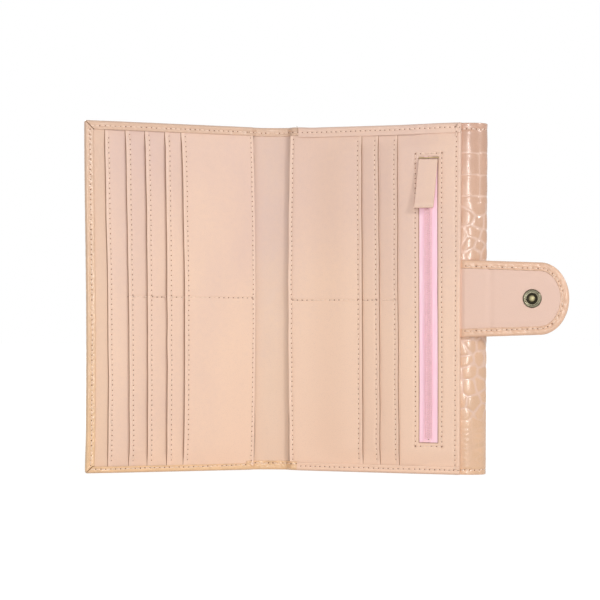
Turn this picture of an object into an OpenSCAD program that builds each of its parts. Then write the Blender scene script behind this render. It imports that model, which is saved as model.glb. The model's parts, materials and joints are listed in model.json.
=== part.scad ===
/* [Wallet] */
// Height of the wallet along its fold lines
wallet_h = 190; // [170:1:210]
// Width of the spine between its two fold lines
spine_w = 13.5; // [13:0.1:18]
// Left leaf from its fold line to its free edge
left_l = 96.8; // [94:0.1:104]
// Right leaf from its fold line to the edge of its page
right_l = 98.9; // [97:0.1:106]
// Lean of the left leaf towards the reader as the wallet stands open
left_open = 16; // [0:1:45]
// Lean of the right leaf towards the reader as the wallet stands open
right_open = 14; // [0:1:45]

/* [Layers] */
// Embossed leather of the outside
cover_t = 1; // [0.9:0.05:1.2]
// Stiffening board inside each panel
board_t = 0.6; // [0.5:0.05:0.8]
// Fabric lining
lining_t = 0.3; // [0.2:0.05:0.4]
// Smooth leather of the pages and pockets
page_t = 0.7; // [0.6:0.05:0.8]
// Room in the flat bill pocket behind each page
bill_gap = 0.5; // [0.4:0.05:0.7]
// Air between two layers that lie on each other
layer_gap = 0.1; // [0.06:0.01:0.14]
// Air either side of a fold
fold_gap = 0.3; // [0.2:0.05:0.4]

/* [Pages] */
// Open edge of the left page from the left fold line
left_page_u = 3.4; // [3:0.1:6]
// Open edge of the right page from the right fold line
right_page_u = 3.8; // [3:0.1:6]
// Turned-in edge at the free side of the left leaf
turn_side = 4.9; // [3:0.1:7]
// Turned-in edge at the top of the left leaf
turn_top = 4.8; // [3:0.1:7]
// Turned-in edge at the bottom of the left leaf
turn_bottom = 3.6; // [3:0.1:7]
// Hem band at the top of the right page
hem_top = 5.6; // [4:0.1:8]
// Hem band at the bottom of the right page
hem_bottom = 4.5; // [4:0.1:8]
// Start of the hem bands from the right fold line
hem_u = 9.6; // [6:0.1:20]
// Sewn margin along the right page's free edge
seam_margin = 5.5; // [4:0.1:6]

/* [Card slots] */
// Free edge of the full-length slip pocket from the left leaf's free edge
slip_back = 10.9; // [9:0.1:16]
// Free edge of the left front panel from the left leaf's free edge
left_front_back = 52.1; // [50:0.1:57]
// Step between two card rows on the left
left_pitch = 10.3; // [9:0.1:10.8]
// Free edge of the right front panel from the right page's free edge
right_front_back = 53.6; // [52:0.1:57]
// Step between two card rows on the right
right_pitch = 10; // [9:0.1:10.5]
// Part of each card strip that is hidden under the next one
strip_lap = 5.5; // [4:0.1:7]

/* [Coin pocket] */
// Middle of the zip from the right page's free edge
zip_back = 17.45; // [17:0.05:19]
// Width of the window in the zip panel
window_w = 9.9; // [9:0.1:11]
// Lower end of the window
window_z0 = 17.2; // [14:0.1:30]
// Upper end of the window below the wallet's top
window_drop = 18; // [16:0.1:30]
// Width of each zip tape
tape_w = 8.7; // [7:0.1:9.5]
// Thickness of the zip tape
tape_t = 0.3; // [0.2:0.05:0.4]
// Width of the closed coil
coil_w = 4.3; // [3.8:0.1:4.8]
// Height of the coil above the tape
coil_t = 0.6; // [0.5:0.05:0.8]
// Step between two teeth
tooth_pitch = 1.2; // [1:0.1:2]
// Free line between the two coils that the slider's web runs in
coil_gap = 0.7; // [0.6:0.05:0.9]
// Thickness of the empty coin bag
bag_t = 0.9; // [0.85:0.05:1.2]
// Fabric of the coin bag
bag_wall = 0.15; // [0.1:0.01:0.18]
// Margin of the bag past both ends of the window
bag_margin = 8; // [5:0.5:10]

/* [Zip slider] */
// Length of the slider
slider_l = 8.4; // [7:0.1:10]
// Width of the slider
slider_w = 6.4; // [6:0.1:7]
// Plates of the slider
slider_t = 0.5; // [0.4:0.05:0.6]
// Radius of the bar that carries the pull
bar_r = 0.45; // [0.35:0.05:0.5]
// Width of the leather pull
pull_w = 10.4; // [9:0.1:12]
// Length of the leather pull below its bar
pull_l = 25.4; // [18:0.1:28]
// Thickness of the folded pull
pull_t = 1.6; // [1.4:0.1:2]
// Sideways lean of the pull
pull_lean = 3.9; // [0:0.1:5]

/* [Coupon pocket] */
// Free depth of the coupon pocket on the back of the right leaf
pocket_d = 9.8; // [8:0.1:14]
// How far the rounded fore edge stands out past the page
nose_l = 13.3; // [11:0.1:18]
// Mouth of the coupon pocket from the right fold line
mouth_u = 8; // [6:0.1:20]
// Number of divider leaves
divider_n = 3; // [3]
// Thickness of a divider leaf
divider_t = 0.6; // [0.4:0.05:0.8]
// Set-back of the dividers behind the mouth
divider_back = 6; // [2:0.5:20]
// Depth of the end gussets' pleats
pleat_d = 7; // [5:0.1:9]
// Fabric of the gussets, measured along the wallet's height
pleat_t = 1.6; // [1.2:0.1:2]

/* [Tab] */
// Width of the tab at its root
tab_root_w = 41.7; // [36:0.1:46]
// Width of the tab where its rounded end begins
tab_end_w = 38.6; // [34:0.1:44]
// Length of the tab from its root fold to its tip
tab_l = 56.5; // [52:0.1:62]
// Length of the tab's rounded end
tab_round = 15.5; // [12:0.1:18]
// Thickness of the tab
tab_t = 2.2; // [2:0.1:2.6]
// Turned-in edge round the tab
tab_turn = 4.7; // [3.5:0.1:6]

/* [Snap] */
// Snap stud from the tab's second fold
stud_l = 22; // [20:0.1:24]
// Radius of the stud's rim
stud_r = 5.1; // [4.8:0.05:5.5]
// Radius of the stud's post
post_r = 1.85; // [1.6:0.05:2]
// Height of the stud's post
post_h = 2.2; // [2:0.05:2.3]
// Radius of the cap on the outside of the tab
cap_r = 6.2; // [5.5:0.1:7]
// Height of the cap
cap_h = 2; // [1.6:0.1:2.4]
// Room between the closed tab and the left leaf
snap_gap = 2.4; // [2.35:0.05:2.6]
// Radial play between the post and its socket
snap_play = 0.3; // [0.2:0.05:0.35]

/* [Hidden] */
$fn = 64;
croc_color = [0.87, 0.67, 0.54];
leather_color = [0.9, 0.74, 0.63];
fabric_color = [0.8, 0.66, 0.56];
board_color = [0.6, 0.52, 0.42];
pink_color = [0.98, 0.76, 0.83];
metal_color = [0.36, 0.31, 0.26];

// Heights above a leaf's mid surface, positive towards the reader
cover_in = cover_t / 2;
cover_out = -cover_t / 2;
board_hi = cover_in + board_t;
lining_hi = board_hi + lining_t;
page_lo = lining_hi + bill_gap;
page_hi = page_lo + page_t;
// Left leaf
turn_lo = page_hi + layer_gap;
turn_hi = turn_lo + page_t;
slip_lo = page_hi + layer_gap;
slip_hi = slip_lo + page_t;
left_deck = slip_hi + layer_gap;
// Right leaf
backing_t = 0.2;
backing_hi = page_lo + backing_t;
bag_lo = backing_hi + layer_gap;
bag_hi = bag_lo + bag_t;
tape_lo = bag_hi + layer_gap / 2;
tape_hi = tape_lo + tape_t;
panel_lo = tape_hi;
panel_hi = panel_lo + page_t;
right_deck = panel_hi + layer_gap;
coil_lo = tape_hi + layer_gap / 2;
coil_hi = coil_lo + coil_t;

// Places along a leaf, from its fold line
fold_r = cover_t / 2;
cover_u0 = fold_r + fold_gap;
layer_u0 = lining_hi + 4 * fold_gap;
left_in_l = left_l - page_t - layer_gap;
slip_u = left_l - slip_back;
left_front_u = left_l - left_front_back;
right_front_u = right_l - right_front_back;
zip_u = right_l - zip_back;
seam_u = right_l - seam_margin;
right_in_l = seam_u - 2 * layer_gap;
row_len_left = left_pitch + strip_lap;
row_len_right = right_pitch + strip_lap;
slope_left = (page_t + layer_gap) / left_pitch;
slope_right = (page_t + layer_gap) / right_pitch;
bag_u0 = right_front_u - row_len_right + 5 * layer_gap;
panel_u0 = right_front_u + layer_gap;

// Coin pocket
window_z1 = wallet_h - window_drop;
tape_margin = bag_margin - 1;
stop_l = 1.2;
slider_z1 = window_z1 - stop_l - 2 * layer_gap;
slider_z0 = slider_z1 - slider_l;
slider_lo = coil_hi + 1.5 * layer_gap;
slider_hi = slider_lo + slider_t;
web_t = coil_gap - 4 * layer_gap;
under_hi = bag_hi - bag_wall;
under_lo = bag_lo + bag_wall + layer_gap;
eye_w = slider_hi + layer_gap / 2 + pull_t / 2;
eye_z = slider_z1 - 1;
eye_play = 0.1;
crown_t = 1.6;
crown_hi = eye_w + pull_t / 2;

// Coupon pocket
back_in = cover_out - pocket_d;
back_board_lo = back_in - lining_t - board_t;
back_out = back_board_lo - cover_t;
coupon_axis_u = right_l + 2 * fold_gap;
coupon_axis_w = back_out + cover_t / 2;
nose_u = coupon_axis_u + fold_r + fold_gap;
nose_hi = board_hi - layer_gap;
nose_mid = (nose_hi + back_out) / 2;
nose_tip = right_l + nose_l;
nose_steps = 28;
section_w = (pocket_d - divider_n * divider_t) / (divider_n + 1);
section_step = section_w + divider_t;
pocket_u1 = right_l;
pleat_z = 0.5;

// Tab
tab_z = wallet_h / 2;
tab_w0 = nose_hi + fold_gap + tab_t / 2;
tab_axis_u = right_l + fold_gap + tab_t / 2;
tab_band_l = spine_w + cover_t / 2 + snap_gap + tab_t / 2 - tab_w0;
tab_fold_u = tab_axis_u + tab_band_l;
tab_tip_u = tab_axis_u + tab_l;
tab_round_u = tab_tip_u - tab_round;
tab_taper = (tab_root_w - tab_end_w) / 2 / (tab_round_u - tab_axis_u);
tab_clear = tab_t / 2 + fold_gap;
tab_skin = 0.9;
tab_rim = 0.7;
stud_u = tab_fold_u + stud_l;
socket_u = tab_axis_u - stud_l;

// Snap
plate_h = 0.35;
rim_h = 0.9;
rim_t = 0.8;
rivet_r = 1.4;
socket_r = stud_r + 0.5;
socket_base_h = 0.8;
barrel_r = stud_r - rim_t - snap_play;
barrel_h = snap_gap - plate_h - 0.15;
bore_r = post_r + snap_play;
eyelet_r = 3.6;

// Leaf frames: x runs from the fold line to the free edge, y away from the reader
module on_left() {
    translate([-spine_w / 2, 0, 0]) mirror([1, 0, 0]) rotate([0, 0, -left_open]) children();
}

module on_right() {
    translate([spine_w / 2, 0, 0]) rotate([0, 0, -right_open]) children();
}

// Box between two places along the leaf, two heights above its mid surface and two levels
module slab(u, w, z) {
    translate([u[0], -w[1], z[0]]) cube([u[1] - u[0], w[1] - w[0], z[1] - z[0]]);
}

// Prism standing on a profile of [along the leaf, height above the mid surface] points
module upright(points, z) {
    translate([0, 0, z[0]]) linear_extrude(z[1] - z[0]) polygon([for (p = points) [p[0], -p[1]]]);
}

// Prism running along the leaf on a profile of [height above the mid surface, level] points
module lengthwise(points, u) {
    translate([u[0], 0, 0]) rotate([90, 0, 90]) linear_extrude(u[1] - u[0])
        polygon([for (p = points) [-p[0], p[1]]]);
}

// Flat piece of the outline given as [along the leaf, level] points
module flat_piece(points, w) {
    translate([0, -w[0], 0]) rotate([90, 0, 0]) linear_extrude(w[1] - w[0]) polygon(points);
}

// Turned piece whose axis points at the reader
module turned(u, w, z) {
    translate([u, -w, z]) rotate([90, 0, 0]) children();
}

full_z = [0, wallet_h];
board_z = [page_t + layer_gap, wallet_h - page_t - layer_gap];
left_pocket_z = [turn_bottom + layer_gap, wallet_h - turn_top - layer_gap];
right_pocket_z = [hem_bottom + layer_gap, wallet_h - hem_top - layer_gap];

// One card strip: its free edge lies over the strip below it and its tail on the deck
module card_strip(edge_u, length, slope, deck, z) {
    rise = slope * length;
    upright([[edge_u - length, deck], [edge_u, deck + rise],
        [edge_u, deck + rise + page_t], [edge_u - length, deck + page_t]], z);
}

// Front panel: a card strip that runs on to the open edge at the gutter
module front_panel(edge_u, length, slope, deck, foot, page_u, z) {
    rise = slope * length;
    tail = edge_u - length;
    ramp = tail - 4 * (deck - foot) - 2 * page_t;
    upright([[page_u, foot], [ramp, foot], [tail, deck], [edge_u, deck + rise],
        [edge_u, deck + rise + page_t], [tail, deck + page_t], [ramp, foot + page_t],
        [page_u, foot + page_t]], z);
}

// Spine
spine_edge = spine_w / 2 - cover_u0;

module outer_cover_spine() {
    color(croc_color) slab([-spine_edge, spine_edge], [cover_out, cover_in], full_z);
}

module fold_left() {
    color(croc_color) translate([-spine_w / 2, 0, 0]) cylinder(h = wallet_h, r = fold_r);
}

module fold_right() {
    color(croc_color) translate([spine_w / 2, 0, 0]) cylinder(h = wallet_h, r = fold_r);
}

module spine_stiffener() {
    half = spine_edge - 4 * fold_gap;
    color(board_color) slab([-half, half], [cover_in, board_hi], board_z);
}

module spine_lining() {
    half = spine_edge - 2 * fold_gap;
    color(leather_color) slab([-half, half], [board_hi, lining_hi], board_z);
}

// Left leaf
module outer_cover_left() {
    color(croc_color) on_left() difference() {
        slab([cover_u0, left_l], [cover_out, cover_in], full_z);
        turned(socket_u, cover_out - 1, tab_z) cylinder(h = cover_t + 2, r = bore_r + page_t);
    }
}

module stiffener_left() {
    color(board_color) on_left() difference() {
        slab([layer_u0, left_in_l], [cover_in, board_hi], board_z);
        turned(socket_u, cover_in - 1, tab_z) cylinder(h = board_t + 2, r = eyelet_r + fold_gap);
    }
}

module bill_lining_left() {
    color(fabric_color) on_left() slab([layer_u0, left_in_l], [board_hi, lining_hi], board_z);
}

module turned_edge_left() {
    arm = [left_page_u, left_l - turn_side - layer_gap];
    color(croc_color) on_left() {
        upright([[left_l - page_t, cover_in], [left_l, cover_in], [left_l, turn_hi],
            [left_l - turn_side, turn_hi], [left_l - turn_side, turn_lo],
            [left_l - page_t, turn_lo]], full_z);
        lengthwise([[cover_in, wallet_h], [turn_hi, wallet_h], [turn_hi, wallet_h - turn_top],
            [turn_lo, wallet_h - turn_top], [turn_lo, wallet_h - page_t],
            [cover_in, wallet_h - page_t]], arm);
        lengthwise([[cover_in, 0], [turn_hi, 0], [turn_hi, turn_bottom], [turn_lo, turn_bottom],
            [turn_lo, page_t], [cover_in, page_t]], arm);
    }
}

module page_left() {
    color(leather_color) on_left() slab([left_page_u, left_in_l], [page_lo, page_hi], board_z);
}

module slip_pocket() {
    color(leather_color) on_left() slab([left_page_u, slip_u], [slip_lo, slip_hi], left_pocket_z);
}

module left_card_row(i) {
    edge = left_front_u + (4 - i) * left_pitch;
    color(leather_color) on_left()
        card_strip(edge, row_len_left, slope_left, left_deck, left_pocket_z);
}

module left_front_panel() {
    color(leather_color) on_left()
        front_panel(left_front_u, row_len_left, slope_left, left_deck, left_deck,
            left_page_u, left_pocket_z);
}

// Female half of the snap, riveted through the outer cover
module snap_socket() {
    color(metal_color) on_left() turned(socket_u, cover_out, tab_z) mirror([0, 0, 1])
        rotate_extrude() polygon([[bore_r, 0], [socket_r, 0], [socket_r, socket_base_h],
            [barrel_r, socket_base_h], [barrel_r, barrel_h], [bore_r, barrel_h]]);
}

module socket_eyelet() {
    color(metal_color) on_left() turned(socket_u, cover_out, tab_z) rotate_extrude()
        polygon([[bore_r, 0], [bore_r + page_t - layer_gap, 0],
            [bore_r + page_t - layer_gap, cover_t], [eyelet_r, cover_t],
            [eyelet_r, cover_t + plate_h], [bore_r, cover_t + plate_h]]);
}

// Right leaf
module inner_cover_right() {
    color(croc_color) on_right() slab([cover_u0, right_l], [cover_out, cover_in], full_z);
}

module stiffener_right() {
    color(board_color) on_right() slab([layer_u0, right_in_l], [cover_in, board_hi], board_z);
}

module bill_lining_right() {
    color(fabric_color) on_right()
        slab([layer_u0, right_in_l], [board_hi, lining_hi], right_pocket_z);
}

module page_backing_right() {
    color(fabric_color) on_right()
        slab([right_page_u, right_in_l], [page_lo, backing_hi], right_pocket_z);
}

module hem_bands_right() {
    hem_hi = panel_hi + page_t - layer_gap;
    color(leather_color) on_right() {
        slab([hem_u, right_l], [board_hi + layer_gap, hem_hi], [wallet_h - hem_top, wallet_h]);
        slab([hem_u, right_l], [board_hi + layer_gap, hem_hi], [0, hem_bottom]);
    }
}

module fore_edge_turn() {
    color(leather_color) on_right()
        slab([seam_u, right_l], [page_lo + layer_gap, panel_lo], right_pocket_z);
}

module fore_edge_filler() {
    half = tab_root_w / 2 + fold_gap;
    span = [board_hi, page_lo];
    color(leather_color) on_right() {
        slab([seam_u, right_l], span, [tab_z + half, right_pocket_z[1]]);
        slab([seam_u, right_l], span, [right_pocket_z[0], tab_z - half]);
    }
}

module zip_panel() {
    color(leather_color) on_right() difference() {
        slab([panel_u0, right_l], [panel_lo, panel_hi], right_pocket_z);
        slab([zip_u - window_w / 2, zip_u + window_w / 2], [panel_lo - 1, panel_hi + 1],
            [window_z0, window_z1]);
    }
}

module coin_bag() {
    bag_z = [window_z0 - bag_margin, window_z1 + bag_margin];
    inside = [bag_z[0] + bag_wall, bag_z[1] - bag_wall];
    color(fabric_color) on_right() difference() {
        slab([bag_u0, right_in_l], [bag_lo, bag_hi], bag_z);
        slab([bag_u0 + bag_wall, right_in_l - bag_wall], [bag_lo + bag_wall, bag_hi - bag_wall],
            inside);
        slab([zip_u - window_w / 2, zip_u + window_w / 2], [bag_hi - 2 * bag_wall, bag_hi + 1],
            [window_z0, window_z1]);
    }
}

tape_z = [window_z0 - tape_margin, window_z1 + tape_margin];
coil_z = [window_z0 + stop_l + 4 * layer_gap, slider_z1];

module zip_tape_inner() {
    color(pink_color) on_right()
        slab([zip_u - coil_gap / 2 - tape_w, zip_u - coil_gap / 2], [tape_lo, tape_hi], tape_z);
}

module zip_tape_outer() {
    color(pink_color) on_right()
        slab([zip_u + coil_gap / 2, zip_u + coil_gap / 2 + tape_w], [tape_lo, tape_hi], tape_z);
}

// Row of teeth on one side of the zip, serrated along its outer edge
module coil_row(side) {
    half = coil_w / 2;
    notch = tooth_pitch / 4;
    teeth = floor((coil_z[1] - coil_z[0]) / tooth_pitch);
    color(pink_color) on_right() flat_piece(concat(
        [[zip_u + side * coil_gap / 2, coil_z[0]]],
        [for (i = [0:teeth - 1]) each [
            [zip_u + side * (half - notch), coil_z[0] + i * tooth_pitch],
            [zip_u + side * half, coil_z[0] + (i + 0.25) * tooth_pitch],
            [zip_u + side * half, coil_z[0] + (i + 0.75) * tooth_pitch]]],
        [[zip_u + side * (half - notch), coil_z[0] + teeth * tooth_pitch],
        [zip_u + side * coil_gap / 2, coil_z[0] + teeth * tooth_pitch]]), [coil_lo, coil_hi]);
}

module zip_coil_inner() {
    coil_row(-1);
}

module zip_coil_outer() {
    coil_row(1);
}

// Moulded top stop on each tape and one bottom stop across both
module zip_stops() {
    inner = coil_gap / 2;
    outer = coil_w / 2;
    color(pink_color) on_right() {
        for (side = [-1, 1])
            slab([zip_u + min(side * inner, side * outer), zip_u + max(side * inner, side * outer)],
                [tape_hi, coil_hi], [window_z1 - stop_l, window_z1 - layer_gap]);
        slab([zip_u - outer, zip_u + outer], [tape_hi, coil_hi],
            [window_z0 + layer_gap, window_z0 + layer_gap + stop_l]);
    }
}

module right_card_row(i) {
    edge = right_front_u + (3 - i) * right_pitch;
    color(leather_color) on_right()
        card_strip(edge, row_len_right, slope_right, right_deck, right_pocket_z);
}

module right_front_panel() {
    color(leather_color) on_right()
        front_panel(right_front_u, row_len_right, slope_right, right_deck,
            backing_hi + layer_gap, right_page_u, right_pocket_z);
}

// Rounded fore edge of the coupon pocket, sewn under the edge of the page
function nose_point(a, skin) = [nose_u + (nose_tip - nose_u - skin) * cos(a),
    nose_mid + (nose_hi - nose_mid - skin) * sin(a)];

module fore_edge_wall() {
    outside = [for (i = [0:nose_steps]) nose_point(90 - 180 * i / nose_steps, 0)];
    inside = [for (i = [0:nose_steps]) nose_point(-90 + 180 * i / nose_steps, cover_t)];
    lap = cover_in;
    color(croc_color) on_right()
        upright(concat([[seam_u, lap], [seam_u, nose_hi]], outside, inside,
            [[right_l + layer_gap, lap]]), full_z);
}

module coupon_floor() {
    color(fabric_color) on_right()
        slab([right_l + fold_gap, coupon_axis_u + fold_gap],
            [back_in - lining_t, cover_out - layer_gap], board_z);
}

// Pleated end of the coupon pocket: peaks at the dividers, valleys between them
function pleat_path(peak, valley) = [for (i = [0:2 * (divider_n + 1)])
    [cover_out - layer_gap - i * (pocket_d - 2 * layer_gap) / (2 * (divider_n + 1)),
        i % 2 == 0 ? peak : valley]];

module gusset(peak, valley, fabric) {
    path = pleat_path(peak, valley);
    last = len(path) - 1;
    color(fabric_color) on_right() lengthwise(concat(path,
        [for (i = [0:last]) path[last - i] + [0, fabric]]),
        [mouth_u + divider_back / 2, pocket_u1]);
}

module gusset_top() {
    gusset(wallet_h - pleat_z, wallet_h - pleat_z - pleat_d, -pleat_t);
}

module gusset_bottom() {
    gusset(pleat_z, pleat_z + pleat_d, pleat_t);
}

// Root of the tab, skived thin and sewn between the page and the rounded edge
module tab_root() {
    half = tab_root_w / 2;
    color(croc_color) on_right()
        slab([seam_u, right_l], [board_hi, page_lo], [tab_z - half, tab_z + half]);
}

// Zip slider: top plate over the coils, web between them and plate under the tapes
module zip_slider() {
    half = slider_w / 2;
    flank = coil_w / 2 + 2 * layer_gap;
    nose = slider_l / 4;
    shield = [[zip_u - half * 0.75, slider_z0], [zip_u + half * 0.75, slider_z0],
        [zip_u + half, slider_z0 + nose], [zip_u + half, slider_z1 - nose],
        [zip_u + half * 0.8, slider_z1], [zip_u - half * 0.8, slider_z1],
        [zip_u - half, slider_z1 - nose], [zip_u - half, slider_z0 + nose]];
    color(metal_color) on_right() {
        difference() {
            union() {
                flat_piece(shield, [slider_lo, slider_hi]);
                for (side = [-1, 1])
                    slab([zip_u + min(side * flank, side * half),
                        zip_u + max(side * flank, side * half)],
                        [coil_lo, slider_hi], [slider_z0 + nose, slider_z1 - nose]);
                slab([zip_u - web_t / 2, zip_u + web_t / 2], [under_lo, slider_lo],
                    [slider_z0 + nose, slider_z1 - nose]);
                flat_piece(shield, [under_lo, under_hi]);
                slab([zip_u - crown_t / 2, zip_u + crown_t / 2], [slider_lo, crown_hi],
                    [eye_z - 1.2, slider_z1]);
            }
            translate([zip_u - crown_t, -eye_w, eye_z]) rotate([0, 90, 0])
                cylinder(h = 2 * crown_t, r = bar_r + eye_play);
        }
    }
}

// Bar through the slider's eye that carries the leather pull
module pull_bar() {
    color(metal_color) on_right() translate([zip_u - pull_w / 2, -eye_w, eye_z])
        rotate([0, 90, 0]) cylinder(h = pull_w, r = bar_r);
}

module zip_pull() {
    half = pull_w / 2;
    notch = crown_t / 2 + fold_gap;
    drift = pull_l * tan(pull_lean);
    color(leather_color) on_right() difference() {
        union() {
            flat_piece([[zip_u - half, eye_z], [zip_u + half, eye_z],
                [zip_u + half - drift, eye_z - pull_l], [zip_u - half - drift, eye_z - pull_l]],
                [eye_w - pull_t / 2, eye_w + pull_t / 2]);
            translate([zip_u - half, -eye_w, eye_z]) rotate([0, 90, 0])
                cylinder(h = pull_w, r = pull_t / 2);
        }
        translate([zip_u - pull_w, -eye_w, eye_z]) rotate([0, 90, 0])
            cylinder(h = 2 * pull_w, r = bar_r + layer_gap / 2);
        slab([zip_u - notch, zip_u + notch], [eye_w - pull_t, eye_w + pull_t],
            [eye_z - 2.2, eye_z + pull_t]);
    }
}

// Tab: half width at a place along it, and the outline between two places
function tab_half(u) = tab_root_w / 2 - tab_taper * (u - tab_axis_u);

function tab_piece(u0, u1, inset) = [
    [u0, tab_z - tab_half(u0) + inset], [u1, tab_z - tab_half(u1) + inset],
    [u1, tab_z + tab_half(u1) - inset], [u0, tab_z + tab_half(u0) - inset]];

function tab_end_piece(u0, inset) = concat(
    [[u0, tab_z + tab_half(u0) - inset]],
    [[u0, tab_z - tab_half(u0) + inset]],
    [for (i = [0:24]) [tab_round_u + (tab_round - inset) * sin(180 * i / 24),
        tab_z - (tab_end_w / 2 - inset) * cos(180 * i / 24)]]);

tab_lo = tab_w0 - tab_t / 2;
tab_hi = tab_w0 + tab_t / 2;
rim_lo = tab_hi - tab_rim;
band_u0 = tab_axis_u + tab_clear;
band_u1 = tab_fold_u - tab_clear;
end_u0 = tab_fold_u + tab_clear;

module tab_fold_1() {
    half = tab_half(tab_axis_u);
    color(croc_color) on_right() translate([tab_axis_u, -tab_w0, tab_z - half])
        cylinder(h = 2 * half, r = tab_t / 2);
}

module tab_band_outer() {
    color(croc_color) on_right() {
        flat_piece(tab_piece(band_u0, band_u1, 0), [tab_lo, tab_lo + tab_skin]);
        difference() {
            flat_piece(tab_piece(band_u0, band_u1, 0), [tab_lo + tab_skin, tab_hi]);
            flat_piece(tab_piece(band_u0 - 1, band_u1 + 1, tab_turn), [tab_lo, tab_hi + 1]);
        }
    }
}

module tab_band_lining() {
    color(leather_color) on_right()
        flat_piece(tab_piece(band_u0, band_u1, tab_turn + layer_gap),
            [tab_lo + tab_skin, tab_hi - layer_gap]);
}

module tab_fold_2() {
    half = tab_half(tab_fold_u);
    color(croc_color) on_right() translate([tab_fold_u, -tab_w0, tab_z - half])
        cylinder(h = 2 * half, r = tab_t / 2);
}

module rivet_hole() {
    turned(stud_u, tab_lo - 1, tab_z) cylinder(h = tab_t + 2, r = rivet_r + layer_gap);
}

module tab_end_outer() {
    color(croc_color) on_right() difference() {
        flat_piece(tab_end_piece(end_u0, 0), [tab_lo, tab_hi]);
        flat_piece(tab_end_piece(end_u0 - 1, tab_turn), [rim_lo - layer_gap, tab_hi + 1]);
        flat_piece(tab_end_piece(end_u0 - 1, page_t), [tab_lo + tab_skin, rim_lo]);
        rivet_hole();
    }
}

module tab_end_lining() {
    color(leather_color) on_right() difference() {
        flat_piece(tab_end_piece(end_u0, tab_turn + layer_gap), [rim_lo, tab_hi - layer_gap]);
        rivet_hole();
    }
}

module tab_stiffener() {
    color(board_color) on_right() difference() {
        flat_piece(tab_end_piece(end_u0, page_t + layer_gap),
            [tab_lo + tab_skin, rim_lo - layer_gap / 2]);
        rivet_hole();
    }
}

// Male half of the snap: rim, recess and centre post
module snap_stud() {
    recess = stud_r - rim_t;
    color(metal_color) on_right() turned(stud_u, tab_hi - layer_gap, tab_z)
        rotate_extrude() polygon([[0, 0], [stud_r, 0], [stud_r, rim_h - 0.2],
            [stud_r - 0.3, rim_h], [recess, rim_h], [recess, plate_h], [post_r, plate_h],
            [post_r, post_h - 0.4], [post_r - 0.5, post_h], [0, post_h]]);
}

// Domed cap on the outside of the tab, with the rivet that holds the stud
module snap_cap() {
    steps = 10;
    rivet_h = tab_t - layer_gap;
    color(metal_color) on_right() turned(stud_u, tab_lo, tab_z) rotate_extrude()
        polygon(concat([[0, rivet_h], [rivet_r, rivet_h], [rivet_r, 0], [cap_r, 0]],
            [for (i = [0:steps]) [cap_r * cos(90 * i / steps), -0.5 - (cap_h - 0.5) * sin(90 * i / steps)]]));
}

// Back of the coupon pocket, which swings open on its fold at the fore edge
module coupon_fold() {
    color(croc_color) on_right() translate([coupon_axis_u, -coupon_axis_w, 0])
        cylinder(h = wallet_h, r = fold_r);
}

module coupon_back_cover() {
    color(croc_color) on_right()
        slab([mouth_u, coupon_axis_u - fold_r - fold_gap], [back_out, back_board_lo], full_z);
}

module coupon_back_board() {
    color(board_color) on_right()
        slab([mouth_u + page_t, pocket_u1 - 4 * fold_gap],
            [back_board_lo, back_board_lo + board_t], board_z);
}

module coupon_back_lining() {
    color(fabric_color) on_right()
        slab([mouth_u + page_t, pocket_u1 - 4 * fold_gap],
            [back_board_lo + board_t, back_in], board_z);
}

module coupon_divider(i) {
    w1 = cover_out - i * section_step + divider_t;
    end_gap = pleat_z + pleat_d + pleat_t + 4 * layer_gap;
    color(fabric_color) on_right()
        slab([mouth_u + divider_back, pocket_u1], [w1 - divider_t, w1],
            [end_gap, wallet_h - end_gap]);
}

outer_cover_spine();
fold_left();
fold_right();
spine_stiffener();
spine_lining();
outer_cover_left();
stiffener_left();
bill_lining_left();
turned_edge_left();
page_left();
slip_pocket();
left_card_row(1);  // left_card_row_1
left_card_row(2);  // left_card_row_2
left_card_row(3);  // left_card_row_3
left_front_panel();
snap_socket();
socket_eyelet();
inner_cover_right();
stiffener_right();
bill_lining_right();
page_backing_right();
hem_bands_right();
fore_edge_turn();
fore_edge_filler();
zip_panel();
coin_bag();
zip_tape_inner();
zip_tape_outer();
zip_coil_inner();
zip_coil_outer();
zip_stops();
right_card_row(1);  // right_card_row_1
right_card_row(2);  // right_card_row_2
right_front_panel();
fore_edge_wall();
coupon_floor();
gusset_top();
gusset_bottom();
tab_root();
zip_slider();
pull_bar();
zip_pull();
tab_fold_1();
tab_band_outer();
tab_band_lining();
tab_fold_2();
tab_end_outer();
tab_end_lining();
tab_stiffener();
snap_stud();
snap_cap();
coupon_fold();
coupon_back_cover();
coupon_back_board();
coupon_back_lining();
coupon_divider(1);  // coupon_divider_1
coupon_divider(2);  // coupon_divider_2
coupon_divider(3);  // coupon_divider_3
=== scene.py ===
"""Looks of the coupon organizer wallet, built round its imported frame."""

import json
import math
from itertools import product
from types import SimpleNamespace

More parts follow.
